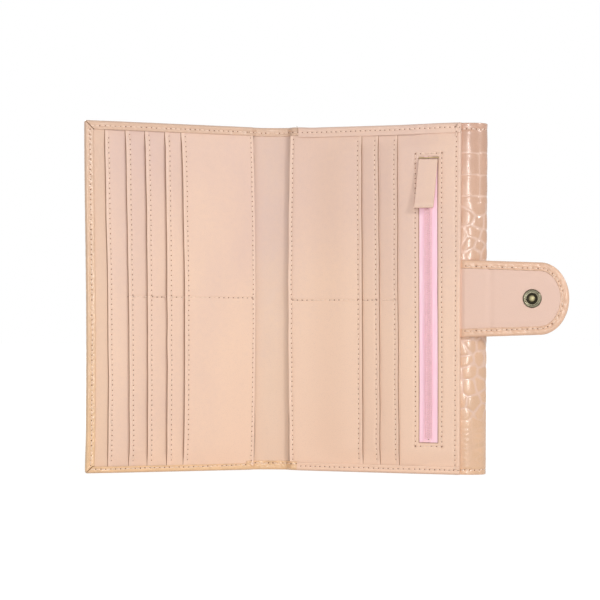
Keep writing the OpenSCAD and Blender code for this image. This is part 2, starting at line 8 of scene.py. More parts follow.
import bpy
import numpy as np
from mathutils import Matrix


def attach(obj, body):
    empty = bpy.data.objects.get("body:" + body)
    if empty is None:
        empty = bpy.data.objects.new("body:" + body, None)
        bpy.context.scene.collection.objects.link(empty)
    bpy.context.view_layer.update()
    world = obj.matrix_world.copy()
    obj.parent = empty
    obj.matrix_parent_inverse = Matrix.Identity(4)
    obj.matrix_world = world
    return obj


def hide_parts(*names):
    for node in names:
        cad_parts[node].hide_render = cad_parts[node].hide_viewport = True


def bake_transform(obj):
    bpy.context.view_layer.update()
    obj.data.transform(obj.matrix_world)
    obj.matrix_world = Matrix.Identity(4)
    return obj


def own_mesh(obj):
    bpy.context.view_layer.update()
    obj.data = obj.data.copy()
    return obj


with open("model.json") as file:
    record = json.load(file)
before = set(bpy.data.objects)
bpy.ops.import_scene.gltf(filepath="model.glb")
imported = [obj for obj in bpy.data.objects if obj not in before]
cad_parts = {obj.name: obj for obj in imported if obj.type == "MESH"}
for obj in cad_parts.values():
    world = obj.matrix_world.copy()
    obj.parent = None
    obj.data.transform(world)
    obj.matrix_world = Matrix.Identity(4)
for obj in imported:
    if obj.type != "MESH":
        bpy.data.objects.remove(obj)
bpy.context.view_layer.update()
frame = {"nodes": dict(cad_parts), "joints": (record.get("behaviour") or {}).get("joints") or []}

# Sizes in millimetres, unless they say otherwise
MM = 0.001
LEATHER = 0.75
SKIN = 0.7
EDGE_ROUND = 0.4
RIM_R = 1.3
TURNED = 0.12
PITCH = 2.7
# Depth and half width of the groove that a row of stitches draws in, and of the dip at a needle hole
GROOVE, GROOVE_HALF = 0.16, 0.7
HOLE_DIP, HOLE_HALF = 0.22, 0.5
# How far round a row the leather is worked out as drawn in
DENT_REACH = 1.6
THREAD_R, HOLE_R = 0.25, 0.36
# Places either side of a fold line where a piece's bend over it starts and ends
FOLD_FROM, FOLD_TO = 3.0, -0.5
SHARP = math.radians(50)


def add_object(name, data):
    thing = bpy.data.objects.new(name, data)
    bpy.context.scene.collection.objects.link(thing)
    return thing


def set_camera():
    """The photograph's view: a long, level lens straight in front, below mid height."""
    data = bpy.data.cameras.new("camera")
    data.sensor_width, data.lens = 36.0, 86.15
    data.clip_start = 0.01
    data.shift_y = 0.049
    camera = add_object("camera", data)
    camera.location = (0.0159, -0.8, 0.078)
    camera.rotation_euler = (math.radians(90), math.radians(-0.28), 0)
    bpy.context.scene.camera = camera
    bpy.context.scene.view_settings.view_transform = "Standard"


set_camera()


# Shaping helpers
def ease(t):
    """Smooth step from 0 to 1."""
    t = np.clip(t, 0, 1)
    return t * t * (3 - 2 * t)


def bump(x, centre, reach):
    """Smooth hump of height 1."""
    return np.exp(-(((x - centre) / reach) ** 2))


def round_off(distance, radius):
    """How far a surface drops at a distance from its rounded edge."""
    near = np.clip(radius - distance, 0, radius)
    return radius - np.sqrt(radius * radius - near * near)


def drift(u, z, seed, amount, waves=(18, 70)):
    """Waves of soft leather, slow ones or the small creases of a turned edge."""
    rng = np.random.default_rng(seed)
    total = 0
    for _ in range(6):
        turn, wave, phase = rng.uniform(0, math.tau), rng.uniform(*waves), rng.uniform(0, math.tau)
        total = total + np.sin((u * math.cos(turn) + z * math.sin(turn)) * math.tau / wave + phase)
    return amount * total / 3


def graded(length, step, marks=()):
    """Places from 0 to length, a step apart and closer round each mark (centre, reach, step)."""
    x = np.linspace(0, length, 4001)
    density = np.full_like(x, 1 / step)
    for centre, reach, fine in marks:
        density = np.maximum(density, np.exp(-(((x - centre) / reach) ** 4)) / fine)
    total = np.concatenate([[0], np.cumsum((density[1:] + density[:-1]) / 2 * np.diff(x))])
    count = max(2, int(np.ceil(total[-1])))
    return np.interp(np.linspace(0, total[-1], count + 1), total, x)


def grid_of(first, second):
    """Grid of places, the first down its rows and the second along them."""
    return np.broadcast_arrays(first[:, None], second)


def fine_ends(length, step, reach=0.8):
    """Places along a length, closer at both ends."""
    return graded(length, step, [(end, reach, 0.15) for end in (0, length)])


def round_ends(place, length, radius):
    """How far a strip drops at its two rounded rims."""
    return np.minimum(round_off(place, radius) + round_off(length - place, radius), radius)


def unit(vectors):
    return vectors / np.linalg.norm(vectors, axis=-1, keepdims=True)


def circle(sides):
    """Angles of the corners of a regular polygon."""
    return np.linspace(0, math.tau, sides, endpoint=False)


def run_of(path):
    """Distance run to each point of a flat path."""
    return np.concatenate([[0], np.cumsum(np.hypot(*np.diff(path, axis=0).T))])


def left_of(path, *run):
    """Direction to the left at each point of a flat path."""
    ahead = np.gradient(path, *run, axis=0)
    return unit(np.stack([-ahead[:, 1], ahead[:, 0]], -1))


# Leaves
class Leaf:
    """A body's leaf: u runs from its fold line to its free edge, w stands up towards the reader.
    Where u is negative the leaf runs on over the fold to the middle of the spine."""

    BEND = 3.5

    def __init__(self, body, side, joint):
        lean = math.radians(-joint["range_deg"][0])
        self.body, self.side = body, side
        self.fold = np.array([joint["pos_m"][0] / MM, 0, 0])
        self.fold_x = abs(self.fold[0])
        self.out = np.array([side * math.cos(lean), -math.sin(lean), 0])
        self.up = np.array([-side * math.sin(lean), -math.cos(lean), 0])

    def worn(self, u, z):
        """The left leaf's free edge is a little askew; on the right one the zip's lower end is sewn
        out of line and the upper edge hangs."""
        if self.side < 0:
            return u + (1.75 * ease((z - 60) / 140) - 0.45 * ease(z / 25)) * ease((u - 55) / 35), z
        u = u + 0.8 * ease((165 - z) / 150) * ease((u - 66) / 8) * ease((97 - u) / 7)
        return u, z - 0.5 * ease((u - 6) / 12) * ease((92 - u) / 30) * ease((z - 160) / 30)

    def world(self, u, w, z):
        """Points in millimetres, in the shared frame."""
        u, z = self.worn(u, z)
        u, w, z = (a[..., None] for a in np.broadcast_arrays(*(np.asarray(x, float) for x in (u, w, z))))
        spine_out, spine_up = np.array([self.side, 0, 0]), np.array([0, -1, 0])
        t = np.clip((u / self.BEND + 1) / 2, 0, 1)
        first, last = self.fold - spine_out * self.BEND, self.fold + self.out * self.BEND
        base = (1 - t) ** 2 * first + 2 * t * (1 - t) * self.fold + t * t * last
        base = base + np.minimum(u + self.BEND, 0) * spine_out + np.maximum(u - self.BEND, 0) * self.out
        return base + w * unit((1 - t) * spine_up + t * self.up) + z * np.array([0, 0, 1])

    def point(self, u, w=0, z=0):
        """One point in metres, for the calls that take one."""
        return tuple(self.world(u, w, z) * MM)

    def fold_blend(self):
        return self.body, "spine", self.point(FOLD_FROM), self.point(FOLD_TO)

    def span(self, node):
        """Lowest and highest u, w and z of a node."""
        co = np.array([v.co for v in frame["nodes"][node].data.vertices]) / MM - self.fold
        u, w, z = co @ self.out, co @ self.up, co[:, 2]
        return SimpleNamespace(u0=u.min(), u1=u.max(), w0=w.min(), w1=w.max(), z0=z.min(), z1=z.max())


class Bent(Leaf):
    """A leaf's curved skin: u runs along a profile of (u, w) points and w stands up from it."""

    def __init__(self, leaf, profile):
        self.leaf, self.body = leaf, leaf.body
        self.profile = np.array(profile, float)
        self.run = run_of(self.profile)
        self.length = self.run[-1]
        self.normal = left_of(self.profile, self.run)

    def world(self, u, w, z):
        u, w, z = np.broadcast_arrays(*(np.asarray(x, float) for x in (u, w, z)))
        along = lambda values: [np.interp(u, self.run, column) for column in values.T]
        out, up = (place + w * lean for place, lean in zip(along(self.profile), along(self.normal)))
        return self.leaf.world(out, up, z)


joints = {joint["name"]: joint for joint in frame["joints"]}
LEFT = Leaf("left_leaf", -1, joints["left_fold"])
RIGHT = Leaf("right_leaf", 1, joints["right_fold"])
HEIGHT = LEFT.span("outer_cover_left").z1
LEFT_L = LEFT.span("outer_cover_left").u1
RIGHT_L = RIGHT.span("inner_cover_right").u1
OUTER_W = LEFT.span("outer_cover_left").w0
INNER_W = -OUTER_W


# Meshes
def ring_faces(rings, sides, caps=()):
    """Walls of a tube whose points run ring by ring, and the quads that close its two ends."""
    index = np.arange(rings * sides).reshape(rings, sides)
    after = np.roll(index, -1, 1)
    walls = np.stack([index[:-1], index[1:], after[1:], after[:-1]], -1).reshape(-1, 4)
    ends = [ring[list(quad)] for ring in (index[0], index[-1][::-1]) for quad in caps]
    return np.concatenate([walls, ends]) if ends else walls


def gather(forms):
    """One mesh's points and faces from many forms of (points, faces)."""
    starts = np.cumsum([0] + [len(points) for points, _ in forms])
    return (np.concatenate([points for points, _ in forms]),
            np.concatenate([faces + start for (_, faces), start in zip(forms, starts)]))


def add_mesh(name, points, faces, *materials, tones=None, picks=None):
    """Object from points in millimetres, its faces turned outwards."""
    used, faces = np.unique(np.asarray(faces), return_inverse=True)
    faces = faces.reshape(-1, 4)
    points = points.reshape(-1, 3)[used]
    a, b, c, d = (points[faces[:, k]] for k in range(4))
    if (np.cross(a, b) * c).sum() + (np.cross(a, c) * d).sum() < 0:
        faces = faces[:, ::-1]
    mesh = bpy.data.meshes.new(name)
    mesh.from_pydata((points * MM).tolist(), [], faces.tolist())
    for key, values in (tones or {}).items():
        layer = mesh.attributes.new(key, "FLOAT", "POINT")
        layer.data.foreach_set("value", np.asarray(values, np.float32).ravel()[used])
    for material in materials:
        mesh.materials.append(material)
    if picks is not None:
        mesh.polygons.foreach_set("material_index", np.asarray(picks, np.int32))
    mesh.shade_smooth()
    mesh.set_sharp_from_angle(angle=SHARP)
    return add_object(name, mesh)


def shell(name, top, bottom, material, tones=None, keep=None):
    """Closed piece between two grids of points, without the cells that keep leaves out."""
    n, m = top.shape[:2]
    index = np.arange(n * m).reshape(n, m)
    quads = np.stack([index[:-1, :-1], index[1:, :-1], index[1:, 1:], index[:-1, 1:]], -1)
    quads = quads.reshape(-1, 4) if keep is None else quads[keep]
    edges = np.concatenate([quads[:, [k, (k + 1) % 4]] for k in range(4)])
    key = edges.min(1) * (n * m) + edges.max(1)
    _, inverse, count = np.unique(key, return_inverse=True, return_counts=True)
    rim = edges[count[inverse] == 1]
    walls = np.stack([rim[:, 1], rim[:, 0], rim[:, 0] + n * m, rim[:, 1] + n * m], -1)
    faces = np.concatenate([quads, quads[:, ::-1] + n * m, walls])
    tones = {key: np.concatenate([np.ravel(v), np.ravel(v)]) for key, v in (tones or {}).items()}
    return add_mesh(name, np.stack([top, bottom]), faces, material, tones=tones)


def lathe(name, leaf, centre, profile, material):
    """Turned piece on an axis that stands on the leaf; profile is (radius, height) points."""
    u, w, z = centre
    turn = circle(48)
    r, h = np.array(profile).T[..., None]
    points = leaf.world(u + r * np.cos(turn), w + h, z + r * np.sin(turn))
    return add_mesh(name, points, ring_faces(*points.shape[:2]), material)


def tube(name, leaf, line, radius, material, sides=10, flat=1.0):
    """Rod or loose thread through (u, w, z) points, pressed flat to a share of its height."""
    path = leaf.world(*np.array(line, float).T)
    ahead = unit(np.gradient(path, axis=0))
    side = unit(np.cross(ahead, leaf.up))
    other = np.cross(side, ahead)
    strands = [path + radius * (math.cos(a) * side + flat * math.sin(a) * other) for a in circle(sides)]
    points = np.stack([np.concatenate([path[:1], strand, path[-1:]]) for strand in strands], 1)
    return add_mesh(name, points, ring_faces(*points.shape[:2]), material)


def settle(piece, on, *nodes, blend=None):
    """Puts a piece on its body and hides the nodes it replaces; where a blend across a joint is given, it
    only bakes the piece's transform.
    """
    if blend:
        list(blend)
        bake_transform(piece)
    else:
        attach(piece, getattr(on, "body", on))
    if nodes:
        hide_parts(*nodes)
    return piece


# Materials
# Stripes that Blender's wave texture makes in a unit at scale 1, which is 20 over 2 pi
WAVE_TURNS = 3.18


class Nodes:
    """Short words for a node tree; an input takes a constant, a colour or another node's output."""

    def __init__(self, owner):
        owner.use_nodes = True
        self.owner, self.tree = owner, owner.node_tree

    def plug(self, node, inputs):
        for key, value in inputs.items():
            socket = node.inputs[key]
            if isinstance(value, bpy.types.NodeSocket):
                self.tree.links.new(value, socket)
            else:
                socket.default_value = (*value, 1) if socket.type == "RGBA" else value

    def node(self, kind, inputs, out=0, **settings):
        """One output of a new node."""
        node = self.tree.nodes.new("ShaderNode" + kind)
        for key, value in settings.items():
            setattr(node, key, value)
        self.plug(node, inputs)
        return node.outputs[out]

    def where(self):
        return self.node("TexCoord", {}, "Object")

    def noise(self, per_mm, detail=3.0, stretch=None):
        """Noise from 0 to 1 with so many waves a millimetre."""
        where = self.where()
        if stretch:
            where = self.node("Mapping", {"Vector": where, "Scale": stretch})
        return self.node("TexNoise", {"Vector": where, "Scale": per_mm / MM, "Detail": detail}, "Fac")

    def cells(self, per_mm):
        """Distance to the nearest of scattered points."""
        return self.node("TexVoronoi", {"Vector": self.where(), "Scale": per_mm / MM}, "Distance")

    def wave(self, per_mm, axis, distortion=0.0):
        """Stripes across one axis."""
        inputs = {"Vector": self.where(), "Scale": per_mm / MM / WAVE_TURNS, "Distortion": distortion}
        return self.node("TexWave", inputs, "Fac", bands_direction=axis)

    def place(self, axis):
        """Coordinate in metres."""
        return self.node("SeparateXYZ", {0: self.where()}, axis)

    def attribute(self, name):
        """One of the tones that the mesh carries."""
        return self.node("Attribute", {}, "Fac", attribute_name=name)

    def spread(self, value, low, high, to_low=0.0, to_high=1.0):
        """Maps a range to another, held at both ends."""
        inputs = {"Value": value, "From Min": low, "From Max": high, "To Min": to_low, "To Max": to_high}
        return self.node("MapRange", inputs)

    def mix(self, share, first, second):
        """Colour between two colours or outputs."""
        return self.node("Mix", {0: share, 6: first, 7: second}, 2, data_type="RGBA")

    def add(self, first, second, factor=1.0):
        """First plus second times factor."""
        return self.node("Math", {0: second, 1: factor, 2: first}, operation="MULTIPLY_ADD")

    def seen(self):
        """1 for what the camera sees, also mirrored or through something clear, 0 for bounced light."""
        path = self.tree.nodes.new("ShaderNodeLightPath").outputs
        most = self.node("Math", {0: path["Is Camera Ray"], 1: path["Is Glossy Ray"]}, operation="MAXIMUM")
        return self.node("Math", {0: most, 1: path["Is Transmission Ray"]}, operation="MAXIMUM")

    def finish(self, colour, relief, distance, strength, **shader):
        """Material with its colour, its relief and the shader's other inputs, words joined with _."""
        bumps = self.node("Bump", {"Height": relief, "Distance": distance * MM, "Strength": strength})
        inputs = {"Base Color": colour, "Normal": bumps}
        inputs.update({key.replace("_", " "): value for key, value in shader.items()})
        self.plug(self.tree.nodes["Principled BSDF"], inputs)
        return self.owner


def new_material(name):
    return Nodes(bpy.data.materials.new(name))


def tint(colour, strength):
    """Darker or lighter tone of a colour."""
    return tuple(min(1.0, strength * c) for c in colour)


def smooth_leather(name, pink, tan, worn):
    """Fine-grained calf with painted shade and reflection: darker and pinker at the top, pinker on the left
    leaf; paler in a marked band, a painted highlight on the pull's end; brown at the cut edge and as
    painted shade beside edges.
    """
    n = new_material(name)
    mottled, pores = n.noise(0.35, 4.0), n.cells(1.9)
    cloud = n.add(n.noise(0.018, 2.0, (1, 1, 0.6)), mottled, 0.25)
    # painted shade and reflection: darker and pinker towards the top, and pinker towards the left leaf
    cloud = n.add(cloud, n.spread(n.place("Z"), 0.02, 0.17), -0.55)
    cloud = n.add(cloud, n.spread(n.place("X"), -0.08, 0.02), 0.15)
    # paler band along stitched edges; on the pull's curled lower end this paler tone is a painted highlight
    tone = n.mix(n.attribute("band"), n.mix(n.spread(cloud, 0.0, 0.6), pink, tan), worn)
    # brown cut edge, and painted shade beside free edges, round the window and in the gutter
    tone = n.mix(n.attribute("edge"), tone, EDGE_AND_SHADE_BROWN)
    pits = n.mix(n.attribute("edge"), tint(pink, 0.88), EDGE_AND_SHADE_BROWN)
    grain = n.add(n.spread(pores, 0.0, 0.5), n.noise(2.6), 0.6)
    return n.finish(n.mix(n.spread(pores, 0.0, 0.28), pits, tone), grain, 0.035, 0.7,
                    Roughness=n.spread(mottled, 0.3, 0.7, 0.44, 0.58), Specular_IOR_Level=0.42,
                    Sheen_Weight=0.12, Sheen_Roughness=0.5)


def croc_leather(name, low, high, groove, coat=0.2):
    """Glazed embossed leather, darker and pinker at the top and lighter and yellower below as painted
    shade; each plate has its own tone, and the paler grooves are partly their own tone and partly painted
    highlight.
    """
    n = new_material(name)
    level, fine = n.spread(n.place("Z"), 0.0, 0.19), n.noise(1.4, 4.0)
    # painted shade by height: darker and pinker towards the top, lighter and yellower below
    dark, light = (n.mix(level, tint(low, k), tint(high, k)) for k in (0.975, 1.045))
    share = n.spread(n.add(n.attribute("plate"), n.noise(0.12), 0.5), 0.3, 1.2)
    # paler grooves: partly their own tone, partly painted highlight along their lips
    colour = n.mix(n.spread(n.attribute("groove"), 0.1, 1.0), n.mix(share, dark, light), groove)
    # dark mitre joints, and painted shadow along the inner edge of the tab's rims
    return n.finish(n.mix(n.attribute("seam"), colour, SEAM_AND_SHADOW), n.add(n.cells(1.1), fine, 0.8), 0.03, 0.6,
                    Roughness=n.spread(fine, 0.3, 0.7, 0.24, 0.38), Specular_IOR_Level=0.4,
                    Coat_Weight=coat, Coat_Roughness=0.16)


def woven(name, colour, dark):
    """Plain-woven lining."""
    n = new_material(name)
    weave = n.add(n.wave(1.6, "X"), n.wave(1.6, "Z"))
    share = n.spread(n.add(weave, n.noise(0.05, 2.0), 0.6), 0.5, 2.2)
    return n.finish(n.mix(share, dark, colour), weave, 0.06, 0.6,
                    Roughness=0.85, Sheen_Weight=0.3, Specular_IOR_Level=0.2)


def tape_fabric(name, colour, dark):
    """Polyester zip tape with fine lengthwise ribs."""
    n = new_material(name)
    ribs, picks = n.noise(0.9, 2.0, (1, 1, 0.08)), n.wave(2.2, "Z", 0.4)
    share = n.spread(n.add(ribs, picks, 0.25), 0.35, 0.85)
    return n.finish(n.mix(share, dark, colour), n.add(picks, ribs), 0.04, 0.5,
                    Roughness=0.55, Sheen_Weight=0.35, Specular_IOR_Level=0.35)


def moulded(name, colour):
    """Translucent-looking nylon."""
    n = new_material(name)
    cloud = n.noise(0.5, 2.0)
    return n.finish(n.mix(n.spread(cloud, 0.3, 0.7), colour, tint(colour, 0.93)), cloud, 0.01, 0.3,
                    Roughness=n.spread(cloud, 0.3, 0.7, 0.3, 0.4), Specular_IOR_Level=0.45)


def thread(name, colour):
    """Twisted polyester thread."""
    n = new_material(name)
    twist = n.noise(3.5, 2.0)
    return n.finish(n.mix(n.spread(twist, 0.3, 0.7), tint(colour, 0.85), colour), twist, 0.03, 0.5,
                    Roughness=0.6, Sheen_Weight=0.2, Specular_IOR_Level=0.3)


def aged_metal(name, bright, dark, roughness):
    """Antiqued brass, dark and worn bright in patches that follow a noise, with fine scratches."""
    n = new_material(name)
    worn, scratches = n.noise(0.25), n.noise(2.0, 2.0, (0.15, 1, 1))
    share = n.spread(n.add(worn, scratches, 0.4), 0.5, 0.9)
    return n.finish(n.mix(share, dark, bright), scratches, 0.01, 0.4, Metallic=1.0,
                    Roughness=n.spread(worn, 0.3, 0.7, roughness - 0.08, roughness + 0.14))


def board(name, colour):
    """Grey-brown fibre board."""
    n = new_material(name)
    fibres = n.noise(1.2, 5.0, (1, 1, 0.3))
    return n.finish(n.mix(n.spread(fibres, 0.3, 0.7), tint(colour, 0.8), colour), fibres, 0.05, 0.5,
                    Roughness=0.9, Specular_IOR_Level=0.2)


# Brown of the cut edges, also used as painted shade beside them, round the window and in the gutter
EDGE_AND_SHADE_BROWN = (0.31, 0.16, 0.09)
# Dark of the mitre joints, also painted shadow inside the tab's rims
SEAM_AND_SHADOW = (0.26, 0.15, 0.09)
PAGE = smooth_leather("page_leather", (0.715, 0.503, 0.425), (0.85, 0.60, 0.45), (0.87, 0.64, 0.51))
# Darker copy of the page leather: painted shade where the left page's margin lies recessed; it is also less
# pink
MARGIN_SHADED = smooth_leather("margin_leather", (0.70, 0.485, 0.37), (0.81, 0.565, 0.41), (0.84, 0.60, 0.47))
# Darker copy of the page leather: painted shade in the gutter
GUTTER_SHADED = smooth_leather("gutter_leather", (0.68, 0.485, 0.42), (0.80, 0.57, 0.425), (0.82, 0.60, 0.48))
CROC = croc_leather("croc_leather", (0.80, 0.53, 0.31), (0.68, 0.46, 0.335), (0.80, 0.57, 0.44))
# Darker copy of the croc leather for the fore edge's round: painted shade where it turns away, with a
# stronger glaze
NOSE_CROC_SHADED = croc_leather("nose_leather", (0.73, 0.47, 0.295), (0.57, 0.34, 0.245), (0.74, 0.51, 0.40), 0.55)
TAB_CROC = croc_leather("tab_leather", (0.74, 0.475, 0.325), (0.74, 0.475, 0.33), (0.80, 0.56, 0.44))
TAB_LINING = smooth_leather("tab_lining", (0.76, 0.525, 0.435), (0.78, 0.54, 0.435), (0.84, 0.60, 0.47))
LINING = woven("lining_fabric", (0.62, 0.45, 0.35), (0.42, 0.29, 0.21))
TAPE = tape_fabric("zip_tape", (1.0, 0.71, 0.80), (1.0, 0.62, 0.745))
COIL = moulded("zip_coil", (1.0, 0.65, 0.70))
THREAD = thread("thread", (0.93, 0.72, 0.58))
# Near-black plugs in the needle holes: painted shade inside the holes
HOLE_SHADE = thread("needle_hole_shade", (0.25, 0.11, 0.065))
LOOSE = thread("loose_thread", (0.42, 0.27, 0.19))
SNAP = aged_metal("snap_metal", (0.19, 0.175, 0.12), (0.06, 0.052, 0.035), 0.25)
POST = aged_metal("snap_post", (0.34, 0.30, 0.17), (0.17, 0.15, 0.08), 0.35)
# Near-black disc in the stud's recess: painted shade of the deep recess
WELL_SHADE = aged_metal("snap_well_shade", (0.035, 0.03, 0.02), (0.02, 0.017, 0.012), 0.5)
ZIP_METAL = aged_metal("zip_metal", (0.36, 0.28, 0.13), (0.19, 0.14, 0.07), 0.42)
WIRE = aged_metal("pull_wire", (0.53, 0.41, 0.24), (0.36, 0.26, 0.15), 0.5)
BOARD = board("stiffener_board", (0.42, 0.34, 0.25))

SLOTS = {
    "croc_leather": (CROC, NOSE_CROC_SHADED, TAB_CROC),
    "smooth_leather": (PAGE, MARGIN_SHADED, GUTTER_SHADED, TAB_LINING, THREAD, LOOSE),
    "lining_fabric": (LINING,),
    "zip_tape": (TAPE,),
    "zip_coil": (COIL,),
    "zip_metal": (ZIP_METAL, WIRE),
    "snap_metal": (SNAP, POST, WELL_SHADE),
}
SLOT_OF = {material.name: slot for slot, materials in SLOTS.items() for material in materials}


# Crocodile embossing
# Height of a row of plates at levels up the hide
PLATE_ROWS = ((0, 2.3), (24, 2.6), (31, 6.5), (40, 8.0), (70, 6.6), (116, 5.6), (130, 6.6), (142, 8.4),
              (156, 11.7), (190, 12.0))
PLATE_W = 7.4
# Every other plate is left out above this level, and a groove lies at the second one
BIG_FROM, BIG_PLATES = 150.0, 173.6
FAR = 99.0
CREASES = (1.5, 4.5)


def scatter(i, j, key):
    """Repeatable number from 0 to 1 for each cell."""
    value = np.sin(i * 127.1 + j * 311.7 + key * 74.7) * 43758.5453
    return value - np.floor(value)


def croc(s, t):
    """Height of the embossing at s along the hide and t up it, with each point's plate tone and groove."""
    levels, sizes = np.array(PLATE_ROWS, float).T
    fine = np.linspace(-10, 200, 1200)
    rows = np.concatenate([[0], np.cumsum(np.diff(fine) / np.interp(fine[1:], levels, sizes))])
    row_at = lambda level: np.interp(level, fine, rows) - np.interp(BIG_PLATES, fine, rows)
    a, b, big = s / PLATE_W, row_at(t), np.floor(row_at(BIG_FROM))
    wide, high = PLATE_W * (1 + 0.6 * bump(t, 8, 16)), np.interp(t, levels, sizes)
    loose = 0.62 * ease((t - 26) / 10) * (1 - ease((t - 138) / 14)) + 0.12
    first = np.full(np.shape(a), FAR)
    second, tone = first.copy(), 0 * first
    for di in (-2, -1, 0, 1, 2):
        for dj in (-1, 0, 1):
            i, j = np.floor(a) + di, np.floor(b) + dj
            du = (i + 0.5 + loose * (scatter(i, j, 1) - 0.5) + 0.5 * (j % 2) * (loose > 0.3) - a) * wide
            dv = (j + 0.5 + loose * (scatter(i, j, 2) - 0.5) - b) * high
            distance = (np.abs(du) ** 2.4 + np.abs(dv) ** 2.4) ** (1 / 2.4)
            distance = np.where((j >= big) & (i % 2 == 1), FAR, distance)
            nearer = distance < first
            second = np.where(nearer, first, np.minimum(second, distance))
            tone = np.where(nearer, scatter(i, j, 3), tone)
            first = np.where(nearer, distance, first)
    broad = 0.8 + 0.5 * ease((150 - t) / 12)
    weak = 1 - 0.75 * ease((34 - t) / 6) - 0.3 * ease((t - 150) / 8) - 0.5 * ease((t - 174) / 3)
    dome = 0.12 * (0.3 + 0.7 * ease((t - 30) / 8))
    groove = weak * np.exp(-(((second - first) / broad) ** 2))
    return dome * (1 - np.clip(first / 4, 0, 1) ** 2) - 0.17 * groove, tone, groove


def hide(s, t, rows, u, z, strength=1.0, creased=0.0):
    """Embossing at a place of the hide, calmer under the stitching; returns height and tones."""
    height, tone, groove = croc(s, t)
    sunk = dents(rows, u, z)
    calm = strength * (1 - 0.85 * np.clip(sunk / GROOVE, 0, 1))
    small = drift(s, t, 5, creased, CREASES)
    return height * calm + small - sunk, {"plate": tone, "groove": groove * calm}


# Stitching
class Row:
    """Row of stitches: needle holes a stitch apart along a line of (u, z) points."""

    def __init__(self, *points):
        points = np.array(points, float)
        run = run_of(points)
        count = max(1, round(run[-1] / PITCH))
        at = np.linspace(0, run[-1], count + 1)
        self.holes = np.stack([np.interp(at, run, points[:, k]) for k in (0, 1)], -1)
        self.holes += np.random.default_rng(len(points) + count).normal(0, 0.07, self.holes.shape)

    def dent(self, u, z):
        """Depth that the thread pulls into the leather."""
        depth = np.zeros(np.shape(u))
        low, high = self.holes.min(0) - DENT_REACH, self.holes.max(0) + DENT_REACH
        near = (u > low[0]) & (u < high[0]) & (z > low[1]) & (z < high[1])
        if not near.any():
            return depth
        p = np.stack([u[near], z[near]], -1)
        along, away = np.full((2, len(p)), FAR)
        for a, b in zip(self.holes[:-1], self.holes[1:]):
            t = np.clip(((p - a) @ (b - a)) / ((b - a) @ (b - a)), 0, 1)
            along = np.minimum(along, np.hypot(*(p - a - t[:, None] * (b - a)).T))
        for hole in self.holes:
            away = np.minimum(away, np.hypot(*(p - hole).T))
        depth[near] = GROOVE * bump(along, 0, GROOVE_HALF) + HOLE_DIP * bump(away, 0, HOLE_HALF)
        return depth


def dents(rows, u, z):
    """Depth that all rows together pull into the leather."""
    return sum((row.dent(u, z) for row in rows), np.zeros(np.shape(u)))


def stitch_form():
    """One stitch from hole to hole along x, arched in z."""
    x, turn = np.linspace(-1, 1, 7)[:, None], circle(6)
    radius = THREAD_R * np.sqrt(np.clip(1.02 - x**4, 0.02, 1))
    lift = 0.16 - 0.34 * x**2 + radius * np.sin(turn)
    points = np.stack([0.5 + 0.42 * x + 0 * turn, radius * np.cos(turn), lift], -1)
    return points.reshape(-1, 3), ring_faces(7, 6, [(0, 1, 2, 3), (0, 3, 4, 5)])


def hole_form():
    """Dark plug in the mouth of a needle hole, a shallow piece of painted shade."""
    profile = [(HOLE_R, -0.25), (HOLE_R, 0.0), (HOLE_R * 0.5, 0.03), (0.02, -0.02)]
    r, h = np.array(profile).T[..., None]
    turn = circle(8)
    points = np.stack([r * np.cos(turn), r * np.sin(turn), h + 0 * turn], -1)
    return points.reshape(-1, 3), ring_faces(len(profile), 8)


def sew(name, leaf, rows, blend=None, face=1):
    """Thread and needle holes of rows given as (row, surface); face -1 is the leaf's outside."""
    (stitch, stitch_faces), (plug, plug_faces) = stitch_form(), hole_form()
    upright = np.array([0, 0, 1.0])
    forms = []
    for row, surface in rows:
        u, z = row.holes.T
        w = surface(u, z)
        at = leaf.world(u, w - face * (GROOVE + 0.02), z)
        up = unit(leaf.world(u, w + face, z) - leaf.world(u, w, z))
        for k, n in enumerate(up):
            if k + 1 < len(at):
                step = at[k + 1] - at[k]
                forms.append((at[k] + stitch @ [step, np.cross(n, unit(step)), n], stitch_faces))
            mouth = at[k] - n * (HOLE_DIP - 0.12)
            forms.append((mouth + plug @ [upright, np.cross(n, upright), n], plug_faces))
    picks = np.concatenate([np.full(len(faces), faces is plug_faces) for _, faces in forms])
    settle(add_mesh(name, *gather(forms), THREAD, HOLE_SHADE, picks=picks), leaf, blend=blend)


# Sheets of leather and fabric lying in a leaf
def bowed(low, middle, high, z0, z1, seed=0, wobble=0.1):
    """Edge that passes through three places from its lower to its upper end."""
    def place(z):
        t = (z - z0) / (z1 - z0)
        curve = low * (1 - t) * (1 - 2 * t) + 4 * middle * t * (1 - t) + high * t * (2 * t - 1)
        return curve + drift(z, z * 0.3, seed, wobble)
    return place


def straight(value):
    return lambda z: np.asarray(z, float) * 0 + value


def level_at(w):
    return lambda u, z: w + 0 * u


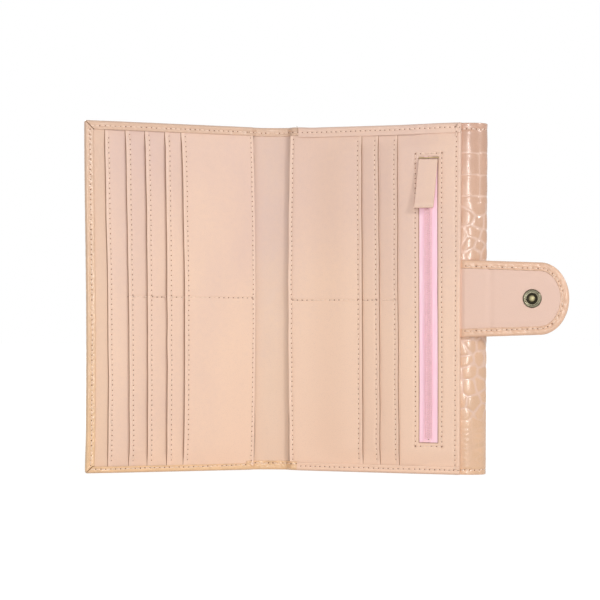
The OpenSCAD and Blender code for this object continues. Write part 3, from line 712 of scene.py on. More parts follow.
class Panel:
    """Sheet between two edges lo and hi, from level z0 to z1, with its upper face at top(u, z)."""

    def __init__(self, name, leaf, lo, hi, z0, z1, top, thick=LEATHER, seed=1, waves=0.06):
        self.name, self.leaf, self.lo, self.hi, self.z0, self.z1 = name, leaf, lo, hi, z0, z1
        self.top, self.thick, self.seed, self.waves = top, thick, seed, waves
        self.rows, self.shade = [], None

    def surface(self, u, z):
        return self.top(u, z) + drift(u, z, self.seed, self.waves)

    def covers(self, u, z):
        return (u >= self.lo(z)) & (u <= self.hi(z)) & (z >= self.z0) & (z <= self.z1)

    def grid(self, near_lo, near_hi, near_z, step):
        z = graded(self.z1 - self.z0, PITCH / 5, [(d - self.z0, 1.4, 0.2) for d in near_z]) + self.z0
        width = self.hi(z) - self.lo(z)
        mean = width.mean()
        marks = [(0, 0.8, 0.14), (mean, 0.8, 0.14)]
        marks += [(d, 1.0, 0.2) for d in near_lo] + [(mean - d, 1.0, 0.2) for d in near_hi]
        x = graded(mean, step, marks)[:, None]
        margin = min(4, mean / 4)
        share = np.clip((x - margin) / (mean - 2 * margin), 0, 1)
        return np.broadcast_arrays(self.lo(z) + x + share * (width - mean), z)

    def build(self, material, near_lo=(), near_hi=(), near_z=(), step=1.4, rounded=("lo", "hi"),
              bottom=None, radius=EDGE_ROUND):
        """Mesh with rounded edges; near_lo and near_hi are the seams' distances from the edges."""
        u, z = self.grid(near_lo, near_hi, near_z, step)
        sides = {"lo": u - self.lo(z), "hi": self.hi(z) - u, "z0": z - self.z0, "z1": self.z1 - z}
        band, cut = 0 * u, 0 * u
        for side, seams in (("lo", near_lo), ("hi", near_hi)):
            for inset in seams:
                band = np.maximum(band, 1 - ease((sides[side] - inset + 0.7) / 0.8))
        # brown at a free edge's wall and the leather just inside it: partly the dark cut edge, partly
        # painted shade of the step; a panel's own shade, used in the gutter, is painted shade
        if near_hi:
            cut = 1 - ease((sides["hi"] - 0.2) / 0.25)
        if self.shade:
            cut = self.shade(u)
        upper = self.surface(u, z) + TURNED * band
        lower = bottom(u, z) if bottom else upper - self.thick
        fall = np.minimum(sum(round_off(sides[side], radius) for side in rounded), radius)
        upper = upper - dents(self.rows, u, z) - fall
        top, under = self.leaf.world(u, upper, z), self.leaf.world(u, lower, z)
        return shell(self.name, top, under, material, {"band": 0.5 * band, "edge": cut})


def sheet(name, leaf, box, material, *nodes, on=None, blend=None, seed=1, waves=0.0, step=3.0, radius=0.1):
    """Thin flat piece that fills a box of the leaf."""
    panel = Panel(name, leaf, straight(box.u0), straight(box.u1), box.z0, box.z1, level_at(box.w1),
                  thick=box.w1 - box.w0, seed=seed, waves=waves)
    settle(panel.build(material, step=step, radius=radius), on or leaf, *nodes, blend=blend)


def build_linings(leaf, *nodes):
    for node in nodes:
        name = node.replace("backing_right", "backing") + "_fabric"
        radius = 0.4 if node == "coin_bag" else 0.1
        sheet(name, leaf, leaf.span(node), LINING, node, seed=len(name), waves=0.1, radius=radius)


def deck(panels):
    """Upper face of whichever panel lies on top."""
    def surface(u, z):
        return np.max([np.where(p.covers(u, z), p.surface(u, z), -FAR) for p in panels], axis=0)
    return surface


def along(edge, inset, z0, z1):
    """Line at a distance from an edge."""
    z = np.linspace(z0, z1, 60)
    return np.stack([edge(z) + inset, z], -1)


def soften(u, z):
    """Rounds the two corners at the left leaf's free edge."""
    x = np.clip((u - LEFT_L + RIM_R) / RIM_R, 0, None)
    for sign, rim in ((1, HEIGHT), (-1, 0)):
        y = np.clip((sign * (z - rim) + RIM_R) / RIM_R, 0, None)
        both = (x > 0) & (y > 0)
        less_u, less_z = (both * a * (1 - np.sqrt(np.clip(1 - b * b / 2, 0.1, 1))) * RIM_R
                          for a, b in ((x, y), (y, x)))
        u, z = u - less_u, z - sign * less_z
    return u, z


def turned(width, step, count):
    """Way round a rim and in over its flange: distance in, share of the way up and the skin's angle."""
    angle = np.linspace(-math.pi / 2, math.pi / 2, count)
    flat = graded(width - RIM_R, step, [(width - RIM_R, 0.6, 0.12)])[1:] + RIM_R
    e = np.concatenate([RIM_R * (1 - np.cos(angle)), flat])
    share = np.concatenate([(1 + np.sin(angle)) / 2, np.ones(len(flat))])
    return e, share, np.concatenate([angle, np.full(len(flat), math.pi / 2)])


def wrap(name, leaf, side, ends, width, level, material, rows, outer=OUTER_W, mitre=False, crumple=0.09):
    """Leather turned over a leaf's rim, from its outer face to a flange of the given width.
    Ends are the first and last place along the rim, as functions of the distance e in from it."""
    e, share, angle = turned(width, WRAP_STEP, 15)
    past = np.where(angle < 0, -e, e)
    start, end = (place(e)[:, None] for place in ends)
    longest = (end - start).max()
    fine = [(k, 2 / longest, 0.12 / longest) for k in (0, 1)] if mitre else []
    pos = start + (end - start) * graded(1, WRAP_STEP / longest, fine)
    e, share, angle, past = (a[:, None] + 0 * pos for a in (e, share, angle, past))
    u, z, s, h = {
        "side": (LEFT_L - e, pos, LEFT_L + past, pos),
        "top": (pos, HEIGHT - e, pos, HEIGHT + past),
        "bottom": (pos, e, pos, -past),
    }[side]
    if material is CROC:
        lift, tones = hide(s, h, rows, u, z, 0.3, crumple * ease((e - 1.0) / 1.2) * (share > 0.9))
    else:
        lift, tones = -dents(rows, u, z), None
    lift = lift - round_off(width - e, 0.35) * (share > 0.99)
    if mitre:
        seam = np.minimum(pos - start, end - pos) if side == "side" else end - pos
        tones["seam"] = np.exp(-((seam / 0.34) ** 2)) * (share > 0.3)
        lift = lift - 0.4 * tones["seam"]
    w = outer + (level(u, z) - outer) * share
    out_u, out_z = {"side": (1, 0), "top": (0, 1), "bottom": (0, -1)}[side]

    def skin(offset):
        edge = np.cos(angle) * offset
        place = u + out_u * edge, z + out_z * edge
        uu, zz = soften(*place) if mitre else place
        return leaf.world(uu, w + np.sin(angle) * offset, zz)

    return shell(name, skin(lift), skin(0 * lift - SKIN), material, tones)


def press(z, low, high, reach=9.0):
    """1 where the ends of the pockets are sewn down flat, 0 along their middle."""
    return 1 - ease((z - low) / reach) * ease((high - z) / reach)


# Left leaf's rim: how far its stitches lie from each edge, and its flanges
pocket_l = LEFT.span("slip_pocket")
page_l = LEFT.span("page_left")
SIDE_IN, TOP_IN, BOTTOM_IN = 2.9, 3.0, 2.3
SIDE_W, TOP_W, BOTTOM_W = 4.9, HEIGHT - pocket_l.z1, pocket_l.z0
RIM_ROWS = {
    "side": Row((LEFT_L - SIDE_IN, BOTTOM_IN + 2), (LEFT_L - SIDE_IN, HEIGHT - TOP_IN - 2)),
    "top": Row((8.5, HEIGHT - TOP_IN), (LEFT_L - SIDE_IN, HEIGHT - TOP_IN)),
    "bottom": Row((8.5, BOTTOM_IN + 0.7), (LEFT_L / 2, BOTTOM_IN + 0.2), (LEFT_L - SIDE_IN, BOTTOM_IN)),
}
GUTTER_BAND = 5.0
SPINE_LEVEL = 2.1
RIGHT_PRESSED = 3.95
CROC_END_U = 9.3
COVER_STEP, WRAP_STEP = 0.68, 0.38


def cover(name, leaf, length, relief_to, rows, *nodes):
    """Embossed hide of a leaf's outside with its half of the spine."""
    rim = RIM_R if leaf is LEFT else 0.4
    u = graded(length - rim + leaf.fold_x, COVER_STEP, [(leaf.fold_x, 5, 0.5)]) - leaf.fold_x
    u, z = grid_of(u, graded(HEIGHT - 2 * RIM_R, COVER_STEP) + RIM_R)
    lift, tones = hide(leaf.side * -u, z, rows, u, z, 1.5 - 1.5 * ease((u - relief_to) / 2))
    uu, zz = soften(u, z) if leaf is LEFT else (u, z)
    piece = shell(name, leaf.world(uu, OUTER_W - lift, zz), leaf.world(uu, INNER_W, zz), CROC, tones)
    settle(piece, leaf, *nodes, blend=leaf.fold_blend())


def build_covers():
    cover("cover_left", LEFT, LEFT_L, 999, RIM_ROWS.values(), "outer_cover_left", "fold_left")
    cover("cover_right", RIGHT, RIGHT_L, 14, [], "outer_cover_spine", "fold_right", "inner_cover_right")


def left_flange(u, z):
    """Level of the turned edge: low on the spine, high over the ends of the pockets."""
    over = pocket_l.w1 + 0.75 * (1 - ease((u - pocket_l.u1 + 1.5) / 4))
    return SPINE_LEVEL + (over - SPINE_LEVEL) * ease((u - 2.2) / 4.5)


def right_flange(u, z):
    """Level of the bands that run on over the gutter to the right page."""
    return SPINE_LEVEL + (RIGHT_PRESSED + 0.8 - SPINE_LEVEL) * ease((u - 2.2) / 4)


def build_rims():
    """Turned edges of the left leaf, and the bands that run on over the gutter."""
    start = page_l.u0 + 4.6
    upright = (lambda e: np.minimum(e, BOTTOM_W), lambda e: HEIGHT - np.minimum(e, TOP_W))
    level = (straight(start), lambda e: LEFT_L - np.minimum(e, SIDE_W))
    for side, ends, width, *nodes in (("side", upright, SIDE_W, "turned_edge_left"),
                                      ("top", level, TOP_W), ("bottom", level, BOTTOM_W)):
        piece = wrap("left_border_" + side, LEFT, side, ends, width, left_flange, CROC, [RIM_ROWS[side]],
                     mitre=True)
        settle(piece, LEFT, *nodes)
    bands = ("top", TOP_W, HEIGHT - TOP_IN), ("bottom", GUTTER_BAND, GUTTER_BAND - 1.3)
    halves = (LEFT, "left", start, left_flange), (RIGHT, "right", CROC_END_U, right_flange)
    for (side, width, line), (leaf, label, end, flange) in product(bands, halves):
        row = Row((1.2 - leaf.fold_x, line), (end - 0.6, line))
        name = f"gutter_{side}_{label}"
        piece = wrap(name, leaf, side, (straight(-leaf.fold_x), straight(end)), width, flange, CROC, [row],
                     crumple=0.2)
        settle(piece, leaf, blend=leaf.fold_blend())
        sew(name + "_stitches", leaf, [(row, flange)], blend=leaf.fold_blend())
    for name, surface, face in (("rim", left_flange, 1), ("back", level_at(OUTER_W), -1)):
        sew(f"left_{name}_stitches", LEFT, [(row, surface) for row in RIM_ROWS.values()], face=face)


# Pockets, lowest first: node, shifts of the free edge from the node's at its lower end, middle and
# upper end, stitch line in from the edge, first stitch below the pocket's upper end
LEFT_ROWS = (
    ("slip_pocket", (-0.9, -0.4, 0.3), 2.2, 4.4),
    ("left_card_row_1", (-2.0, -1.2, 0.0), 2.45, 2.2),
    ("left_card_row_2", (-1.7, -1.3, 0.2), 2.45, 2.2),
    ("left_card_row_3", (-2.1, -1.8, -0.2), 2.6, 2.2),
    ("left_front_panel", (-0.9, -1.2, 1.1), 2.5, 2.2),
)
RIGHT_ROWS = (
    ("right_card_row_1", (1.3, 0.2, -0.6), 2.0, 2.8),
    ("right_card_row_2", (0.8, 0.0, -1.2), 2.1, 2.8),
    ("right_front_panel", (1.3, 0.5, -0.4), 2.45, 2.8),
)
TUCK = 1.2
STEP_UP = 1.35


def tucked(edge):
    """Lower edge of a strip, hidden under the free edge of the next one."""
    return lambda z: edge(z) - 3.5


def build_pockets(leaf, table, low, high, base, first_pressed, gutter, inset, seam_z, seam_from, front_top):
    """Card strips and front panel of a leaf; base is the level that the first strip rests on.
    Each strip falls away from its free edge; returns the rows to be sewn."""
    slope = STEP_UP / (leaf.span(table[-2][0]).u1 - leaf.span(table[-1][0]).u1)
    edges = [bowed(*(leaf.span(node).u1 + s for s in shifts), low, high, k)
             for k, (node, shifts, _, _) in enumerate(table)]
    gutter_row = Row(*along(gutter, inset, low + 1.5, high - 1.2))
    seam = Row((gutter(np.array([seam_z]))[0] + inset + 0.8, seam_z), (seam_from, seam_z))
    panels, stitched = [], []
    for k, (node, _, from_edge, first) in enumerate(table):
        slip, front, edge = node == "slip_pocket", k == len(table) - 1, edges[k]
        rise = base if slip else base + STEP_UP
        row = Row(*along(edge, -from_edge, low + 3.0, high - first))
        lo = straight(edge(low) - 17) if slip else gutter if front else tucked(edges[k + 1])
        fall, pressed = 0 if slip else slope, first_pressed + 0.15 * k

        def top(u, z, edge=edge, rise=rise, fall=fall, front=front, pressed=pressed):
            free = np.maximum(rise - fall * (edge(z) - u), 0)
            free = front_top(free, rise, u) if front else free
            return free + (pressed - free) * press(z, low, high)

        panel = Panel(node + "_leather", leaf, lo, edge, low - TUCK, high + TUCK, top,
                      seed=20 + k + leaf.side)
        panel.rows = [row] if slip else [row, seam, gutter_row] if front else [row, seam]
        near_lo, rounded = ((inset,), ("lo", "hi")) if front else ((), ("hi",))
        piece = panel.build(PAGE, near_lo=near_lo, near_hi=(from_edge,), near_z=(seam_z,), rounded=rounded)
        settle(piece, leaf, node)
        stitched.append((row, panel.surface))
        panels.append(panel)
    return stitched + [(gutter_row, panels[-1].surface), (seam, deck(panels))]


def build_left_pages():
    low, high = pocket_l.z0, pocket_l.z1
    gutter = bowed(page_l.u0 + 0.4, page_l.u0 - 0.4, page_l.u0 + 1.45, low, high, 9)
    page = Panel("page_left_leather", LEFT, lambda z: gutter(z) + 0.05, straight(LEFT_L - SIDE_W + TUCK),
                 low - TUCK, high + TUCK, level_at(page_l.w1), thick=page_l.w1 - page_l.w0)
    settle(page.build(MARGIN_SHADED, rounded=("lo",), step=2.5), LEFT, "page_left")

    def front_top(free, rise, u):
        falling = np.maximum(free, rise - 0.6)
        return falling + (page_l.w1 + 0.8 - falling) * ease((24 - u) / 20)

    seam_from = LEFT.span("left_card_row_1").u1 - 1.2
    stitched = build_pockets(LEFT, LEFT_ROWS, low, high, pocket_l.w1, page_l.w1 + 0.15, gutter, 1.4, 95.3,
                             seam_from, front_top)
    sew("left_stitches", LEFT, stitched)
    build_linings(LEFT, "bill_lining_left")


# Right leaf
window = SimpleNamespace(u0=76.5, u1=86.4, z0=17.2, z1=171.2)
panel_r = RIGHT.span("zip_panel")
pocket_r = RIGHT.span("right_card_row_1")
PANEL_START, PAGE_END = 53, panel_r.u1 + 0.2
FORE_ROW = Row((PAGE_END - 2.5, 2.6), (PAGE_END - 2.5, HEIGHT - 2.4))


def build_right_pages():
    low, high = pocket_r.z0, pocket_r.z1
    start = RIGHT.span("right_front_panel").u0
    gutter = bowed(start + 1.1, start - 0.25, start + 0.4, low, high, 12, 0.15)

    def front_top(free, rise, u):
        return np.maximum(free, rise - 0.5) - 1.5 * ease((38 - u) / 20) + 0.6 * ease((17 - u) / 13)

    seam_from = RIGHT.span("right_card_row_1").u1 - 1.0
    stitched = build_pockets(RIGHT, RIGHT_ROWS, low, high, panel_r.w1, RIGHT_PRESSED - 0.3, gutter, 1.8,
                             94.2, seam_from, front_top)
    sew("right_stitches", RIGHT, stitched + build_zip_panel(low, high))
    build_linings(RIGHT, "bill_lining_right", "page_backing_right", "coin_bag")


def window_distance(u, z):
    """Distance outside the window's edge."""
    du = np.maximum(window.u0 - u, u - window.u1)
    dz = np.maximum(window.z0 - z, z - window.z1)
    return np.where((du > 0) & (dz > 0), np.hypot(du, dz), np.maximum(du, dz))


def meet(places, *marks):
    """Moves the nearest place onto each mark."""
    for mark in marks:
        places[np.abs(places - mark).argmin()] = mark


def build_zip_panel(low, high):
    """Leather with the framed window of the zip; returns its rows to be sewn."""
    def level(u, z):
        flat = panel_r.w1 + (RIGHT_PRESSED - 0.5 - panel_r.w1) * press(z, low, high, 8)
        return flat - 0.35 * bump(np.clip(window_distance(u, z), 0, None), 0, 1.2)

    panel = Panel("zip_panel_leather", RIGHT, straight(PANEL_START), straight(PAGE_END), low - TUCK,
                  high + TUCK, level, seed=31)
    u0, u1, z0, z1 = window.u0 - 2.2, window.u1 + 2.3, window.z0 - 2.1, window.z1 + 2.4
    rows = [Row((u0, z0), (u0, z1)), Row((u1, z0), (u1, z1))]
    rows += [Row((u0, z), (u1, z)) for z in (z0, z1)]
    past_ends = lambda u, z: np.where((z > high) | (z < low), hem_level(u, z), panel.surface(u, z))
    seams_u = u0, window.u0, window.u1, u1, PAGE_END - 2.5, PAGE_END
    fine_u = [(d - PANEL_START, 1.0, 0.18) for d in seams_u]
    fine_z = [(d - low, 1.0, 0.15) for d in (window.z0, window.z1)]
    u = graded(PAGE_END - PANEL_START, 1.2, fine_u) + PANEL_START
    z = graded(high - low + 2 * TUCK, PITCH / 5, fine_z) + low - TUCK
    meet(u, window.u0, window.u1)
    meet(z, window.z0, window.z1)
    u, z = grid_of(u, z)
    outside = np.clip(window_distance(u, z), 0, None)
    fall = np.minimum(round_off(PAGE_END - u, 1.0) + round_off(outside, 0.35), 1.0)
    upper = panel.surface(u, z) - dents(rows + [FORE_ROW], u, z) - fall
    lower = panel.surface(u, z) - LEATHER
    lower = lower + (1.2 - lower) * ease((u - 94) / 1.5)
    centre = lambda a: (a[1:, 1:] + a[:-1, :-1]) / 2
    keep = window_distance(centre(u), centre(z)) > 0
    # dark rim of the window: partly its brown cut edge, partly painted shadow along the rim
    tones = {"edge": np.exp(-((outside / 0.45) ** 4))}
    top, under = RIGHT.world(u, upper, z), RIGHT.world(u, lower, z)
    piece = shell("zip_panel_leather", top, under, PAGE, tones, keep)
    settle(piece, RIGHT, "zip_panel", "fore_edge_turn")
    return [(row, panel.surface) for row in rows] + [(FORE_ROW, past_ends)]


def hem_level(u, z):
    """Upper face of the hem bands, lower where no strip lies under them, rounded at the fore corner."""
    corner = round_off(np.clip(PAGE_END - u, 0, None), 0.5)
    return RIGHT_PRESSED + 0.8 - 0.6 * ease((u - 75) / 5) - corner + drift(u, z, 41, 0.05)


def build_hem_bands():
    """Turned hems at the top and bottom of the right page, each with a core that closes its fore end."""
    rows = []
    for side, width, first, last in (("top", HEIGHT - pocket_r.z1, HEIGHT - 3.0, HEIGHT - 2.6),
                                     ("bottom", pocket_r.z0, 2.6, 2.6)):
        row = Row((CROC_END_U + 2, first), (PAGE_END - 0.6, last))
        rows.append((row, hem_level))
        ends = straight(CROC_END_U - 0.2), straight(PAGE_END)
        piece = wrap(f"hem_{side}", RIGHT, side, ends, width, hem_level, PAGE, [row, FORE_ROW],
                     outer=INNER_W + 0.1)
        settle(piece, RIGHT, "hem_bands_right")
        low, high = (HEIGHT - width + TUCK, HEIGHT - 0.8) if side == "top" else (0.8, width - TUCK)
        core = Panel(f"hem_{side}_end", RIGHT, straight(PAGE_END - 4), straight(PAGE_END - 0.12), low, high,
                     level_at(RIGHT_PRESSED - 0.4), seed=43)
        settle(core.build(PAGE, rounded=(), bottom=level_at(INNER_W + 0.5)), RIGHT)
    sew("hem_stitches", RIGHT, rows)


# Zip
TEETH_STEP = 1.2
TEETH_TOP = RIGHT.span("zip_coil_inner").w1 + 0.17
PULL_LIFT = 1.6
PULL_SHIFT = 0.1


def build_tapes():
    for side, node in ((-1, "zip_tape_inner"), (1, "zip_tape_outer")):
        sheet(node + "_fabric", RIGHT, RIGHT.span(node), TAPE, node, seed=50 + side, waves=0.03, step=0.6)


def build_coils():
    """Rows of nylon teeth that hook past each other, with the sewn cords along each."""
    middle = (RIGHT.span("zip_coil_inner").u0 + RIGHT.span("zip_coil_outer").u1) / 2
    x, turn = np.linspace(-1, 1, 7)[:, None], circle(8)
    fat = np.sqrt(np.clip(1.02 - x**6, 0.02, 1))
    for side, node in ((-1, "zip_coil_inner"), (1, "zip_coil_outer")):
        n = RIGHT.span(node)
        start, end = middle + side * (n.u1 - n.u0 + 0.1), middle - side * 0.55
        u, w = start + (end - start) * (x + 1) / 2, (n.w0 + n.w1) / 2 + 0.3 * fat * np.cos(turn)
        first = n.z0 + 0.6 + (side > 0) * TEETH_STEP / 2
        grids = [RIGHT.world(u, w, first + k * TEETH_STEP + 0.31 * fat * np.sin(turn))
                 for k in range(int((n.z1 - n.z0 - 1) / TEETH_STEP))]
        z = np.linspace(n.z0 + 0.3, n.z1 - 0.3, 400)[:, None]
        w = n.w1 - 0.08 + 0.05 * np.cos(z * math.tau / TEETH_STEP) + 0.2 * np.sin(turn)
        grids += [RIGHT.world(middle + side * out + 0.2 * np.cos(turn), w, z) for out in (1.25, 1.95)]
        caps = (0, 1, 2, 3), (0, 3, 4, 7), (4, 5, 6, 7)
        forms = [(grid.reshape(-1, 3), ring_faces(len(grid), 8, caps)) for grid in grids]
        settle(add_mesh(node + "_teeth", *gather(forms), COIL), RIGHT, node)


def build_pull():
    """Leather strap folded over the slider's bar, with its lower end curled away from the leaf, and the
    slider's wire above it."""
    n, bar = RIGHT.span("zip_pull"), RIGHT.span("pull_bar")
    eye_w, eye_z = (bar.w0 + bar.w1) / 2, (bar.z0 + bar.z1) / 2
    long, wide = eye_z - n.z0 + 0.2, bar.u1 - bar.u0 + 0.05
    lean = (n.u1 - n.u0 - wide + 0.4) / long
    layer, half = 0.42, 0.36
    down = graded(long, 0.5, [(0, 1, 0.25), (long, 1.5, 0.2)])
    turn = np.linspace(0, math.pi, 12)[1:-1]
    z = np.concatenate([eye_z - down[::-1], eye_z + layer * np.sin(turn), eye_z - down])
    w = np.concatenate([0 * down - layer, -layer * np.cos(turn), 0 * down + layer])
    away = np.clip((eye_z - z) / long, 0, 1)
    w = w + eye_w + PULL_LIFT * away**3 + 0.9 * np.clip((away - 0.92) / 0.08, 0, 1) ** 1.5
    normal = left_of(np.stack([w, z], -1))
    across = fine_ends(wide, 0.8)
    rim = round_ends(across, wide, 0.3)
    u = bar.u0 + PULL_SHIFT + across - lean * np.clip(eye_z - z, 0, None)[:, None]

    def face(sign):
        offset = sign * (half - rim)
        return RIGHT.world(u, w[:, None] + offset * normal[:, :1], z[:, None] + offset * normal[:, 1:])

    # painted highlight: the front layer's curled lower end is drawn paler
    end_highlight = 0.8 * ease((away - 0.9) / 0.04) * (np.arange(len(z)) > len(down))
    piece = settle(shell("pull_leather", face(1), face(-1), PAGE, {"band": end_highlight[:, None] + 0 * u}),
                   "pull", "zip_pull")
    anchor = RIGHT.point((bar.u0 + bar.u1) / 2, eye_w, eye_z)
    tuple(RIGHT.up)
    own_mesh(piece)
    line = [(u, TEETH_TOP + 0.27, eye_z + 1.55 + 0.06 * math.sin(u))
            for u in np.linspace(bar.u0 + 0.3, bar.u1 + 0.6, 12)]
    settle(tube("slider_wire", RIGHT, line, 0.46, WIRE, flat=0.5), "slider")


def build_slider():
    """Slider's plates above and below the teeth, with the arch that holds the bar, under the pull."""
    n = RIGHT.span("zip_slider")
    z1 = n.z1 - 0.45
    u, z = grid_of(n.u0 + graded(n.u1 - n.u0, 0.35), n.z0 + graded(z1 - n.z0, 0.35))
    side = np.minimum(np.minimum(u - n.u0, n.u1 - u), np.minimum(z - n.z0, z1 - z))
    arch = ease((1.1 - np.abs(u - (n.u0 + n.u1) / 2)) / 0.4) * ease((z - n.z0 - 1.5) / 2)
    top = RIGHT.world(u, n.w0 + 2.4 + arch - round_off(side, 0.35), z)
    piece = shell("slider_brass", top, RIGHT.world(u, TEETH_TOP + 0.1, z), ZIP_METAL)
    settle(piece, "slider", "zip_slider")
    n.w1, n.z1 = n.w0 + 0.5, z1
    sheet("slider_plate", RIGHT, n, ZIP_METAL, on="slider", seed=3, step=0.5, radius=0.2)


# Fore edge and coupon pocket
wall = RIGHT.span("fore_edge_wall")
NOSE_U, NOSE_S0 = 100.3, 113.8
BACK_RIM = 0.9
PLEATS = 8


def nose_profile():
    """Half round from the leaf's face to the coupon pocket's back."""
    middle, half = (wall.w0 + wall.w1) / 2, (wall.w1 - wall.w0) / 2
    flat = [(u, wall.w1) for u in np.linspace(wall.u0, NOSE_U, 12)[:-1]]
    return flat + [(NOSE_U + (wall.u1 - NOSE_U) * math.cos(a), middle + half * math.sin(a))
                   for a in np.linspace(math.pi / 2, -math.pi / 2, 81)]


NOSE = Bent(RIGHT, nose_profile())
COUPON_BLEND = ("right_leaf", "coupon_back", RIGHT.point(NOSE_U, wall.w0),
                RIGHT.point(NOSE_U - 3.5, wall.w0))


def build_nose():
    rows = [Row((3, level), (NOSE.length - 2, level)) for level in (HEIGHT - 3.4, 2.6)]
    s, z = grid_of(graded(NOSE.length, 0.44), fine_ends(HEIGHT, 0.42))
    lift, tones = hide(NOSE_S0 + s, z, rows, s, z)
    rim = round_ends(z, HEIGHT, 0.5)
    outer, inner = NOSE.world(s, lift - rim, z), NOSE.world(s, rim - 1.0, z)
    settle(shell("nose_leather", outer, inner, NOSE_CROC_SHADED, tones), RIGHT, "fore_edge_wall")
    sew("nose_stitches", NOSE, [(row, level_at(0)) for row in rows])
    n = RIGHT.span("coupon_floor")
    w, z = grid_of(n.w0 + graded(n.w1 - n.w0, 1), n.z0 + graded(n.z1 - n.z0, 3))
    sag = drift(w * 3, z, 61, 0.12)
    outer, inner = RIGHT.world(n.u1 - 0.1 + sag, w, z), RIGHT.world(n.u0 + 0.1 + sag, w, z)
    settle(shell("coupon_floor_fabric", outer, inner, LINING), RIGHT, "coupon_floor")


def build_coupon_back():
    n, inner = RIGHT.span("coupon_back_cover"), RIGHT.span("coupon_back_lining")
    u, z = grid_of(n.u0 + graded(NOSE_U - n.u0, 0.7, [(0, 1, 0.15)]), fine_ends(HEIGHT, 0.7, 1))
    low, high, start, end = 2.6, HEIGHT - 2.6, n.u0 + 2.6, NOSE_U - 2
    rows = [Row((start, low), (start, high))] + [Row((start, k), (end, k)) for k in (low, high)]
    lift, tones = hide(NOSE_S0 + NOSE.length + NOSE_U - u, z, rows, u, z, 1.4)
    near = np.minimum(np.minimum(u - n.u0, z), HEIGHT - z)
    rim = round_off(near, BACK_RIM)
    inside = inner.w1 + (n.w1 - inner.w1) * ease((u - NOSE_U + 4) / 3)
    top = RIGHT.world(u, n.w0 - lift * (near > 0.05) + rim, z)
    under = RIGHT.world(u, inside - 0.15 - rim, z)
    settle(shell("coupon_back_leather", top, under, CROC, tones), RIGHT,
           "coupon_back_cover", "coupon_fold", "coupon_back_board", blend=COUPON_BLEND)
    sew("coupon_stitches", RIGHT, [(row, level_at(n.w0)) for row in rows], COUPON_BLEND, face=-1)
    inner.w0, inner.u0, inner.z0, inner.z1 = inner.w1 - 0.3, inner.u0 + 3, inner.z0 + 3, inner.z1 - 3
    sheet("coupon_back_fabric", RIGHT, inner, LINING, "coupon_back_lining", blend=COUPON_BLEND,
          seed=71, waves=0.05, radius=0.12)


def build_dividers():
    for k in (1, 2, 3):
        node = f"coupon_divider_{k}"
        sheet(f"divider_{k}_fabric", RIGHT, RIGHT.span(node), LINING, node, on=f"divider_{k}", seed=80 + k,
              radius=0.25)


def pleated(n, depth):
    """Path of (w, depth) points of an accordion: walls in pairs, each pair joined by a round turn."""
    pitch = (n.w1 - n.w0) / PLEATS
    r = pitch / 2
    path = [(n.w1 - 0.1, 0.3)]
    for k in range(PLEATS):
        w, outwards = n.w1 - (k + 0.5) * pitch, -1 if k % 2 else 1
        path += [(w, d) for d in np.linspace(r, depth - r, 7)[::outwards]]
        if k < PLEATS - 1:
            around = np.linspace(0, math.pi, 9)[1:-1]
            path += [(w - r + r * math.cos(a), path[-1][1] + outwards * r * math.sin(a)) for a in around]
    return np.array(path + [(n.w0 + 0.1, 0.3)]), r


def build_gusset(node, sign):
    """Accordion end of the coupon pocket."""
    n = RIGHT.span(node)
    path, r = pleated(n, n.z1 - n.z0 - 1.6)
    normal = left_of(path)
    w, u = np.broadcast_arrays(path[:, :1], graded(n.u1 - n.u0, 2.5) + n.u0)
    slack = 0.5 * drift(u, w * 6, 90 + sign, 1.0)

    def face(offset):
        deep = path[:, 1:] + offset * normal[:, 1:] + slack * (path[:, 1:] > r)
        return RIGHT.world(u, w + offset * normal[:, :1], (n.z1 if sign > 0 else n.z0) - sign * deep)

    ends = RIGHT.point(60, n.w1), RIGHT.point(60, n.w0)
    piece = shell(node + "_fabric", face(0.14), face(-0.14), LINING)
    settle(piece, RIGHT, node, blend=("right_leaf", "coupon_back", *ends))
    flat = (run_of(path)[-1] * MM, (n.u1 - n.u0) * MM)


# Tab
tab = SimpleNamespace(z=95.0, root=20.85, end=19.3, axis1=100.3, axis2=115.4, round_u=141.3, tip=156.8,
                      lo=1.3, hi=3.5, turn=4.7)
TAB_SPLIT = (tab.axis1 + tab.axis2) / 2
TAB_STITCH = 3.3
TAB_SKIN = 0.6
TAB_ROWS = 93
TAB_HIDE = 200


def tab_outline(u_from, e, step=0.42, to_tip=True):
    """Outline at a distance e in from the rim, from one side of the root round the tip to the other."""
    straight_u = u_from + graded((tab.round_u if to_tip else TAB_SPLIT) - u_from, step)
    share = (straight_u - tab.axis1) / (tab.round_u - tab.axis1)
    half = tab.root + (tab.end - tab.root) * share - e
    if not to_tip:
        return straight_u, half
    turn = np.linspace(0, math.pi / 2, int(30 / step))[1:]
    u = np.concatenate([straight_u, tab.round_u + (tab.tip - tab.round_u - e) * np.sin(turn)])
    return u, np.concatenate([half, (tab.end - e) * np.cos(turn)])


def tab_face(u, half):
    """Grid between the two sides of an outline."""
    return np.broadcast_arrays(u[:, None], tab.z + half[:, None] * np.linspace(-1, 1, TAB_ROWS))


def tab_level(u):
    """The tab is not quite flat, and its root is sewn in lower."""
    return 0.12 * np.sin((u - tab.axis1) / 9) - 1.15 * ease((tab.axis1 + 1.5 - u) / 4)


def lay(u, w, z):
    """Points of the tab at a height over its own level."""
    return RIGHT.world(u, w + tab_level(u), z)


def tab_stitch_rows():
    """One line of stitches round the tab, cut in three where it passes the bend."""
    u, half = tab_outline(tab.axis1 + 1.5, TAB_STITCH)
    points = np.concatenate([np.stack([u, tab.z + half], -1), np.stack([u, tab.z - half], -1)[::-1][1:]])
    near = points[:, 0] < TAB_SPLIT
    count = near.argmin()
    last = len(points) - near[::-1].argmin()
    return Row(*points[:count]), Row(*points[count - 1:last + 1]), Row(*points[last:])


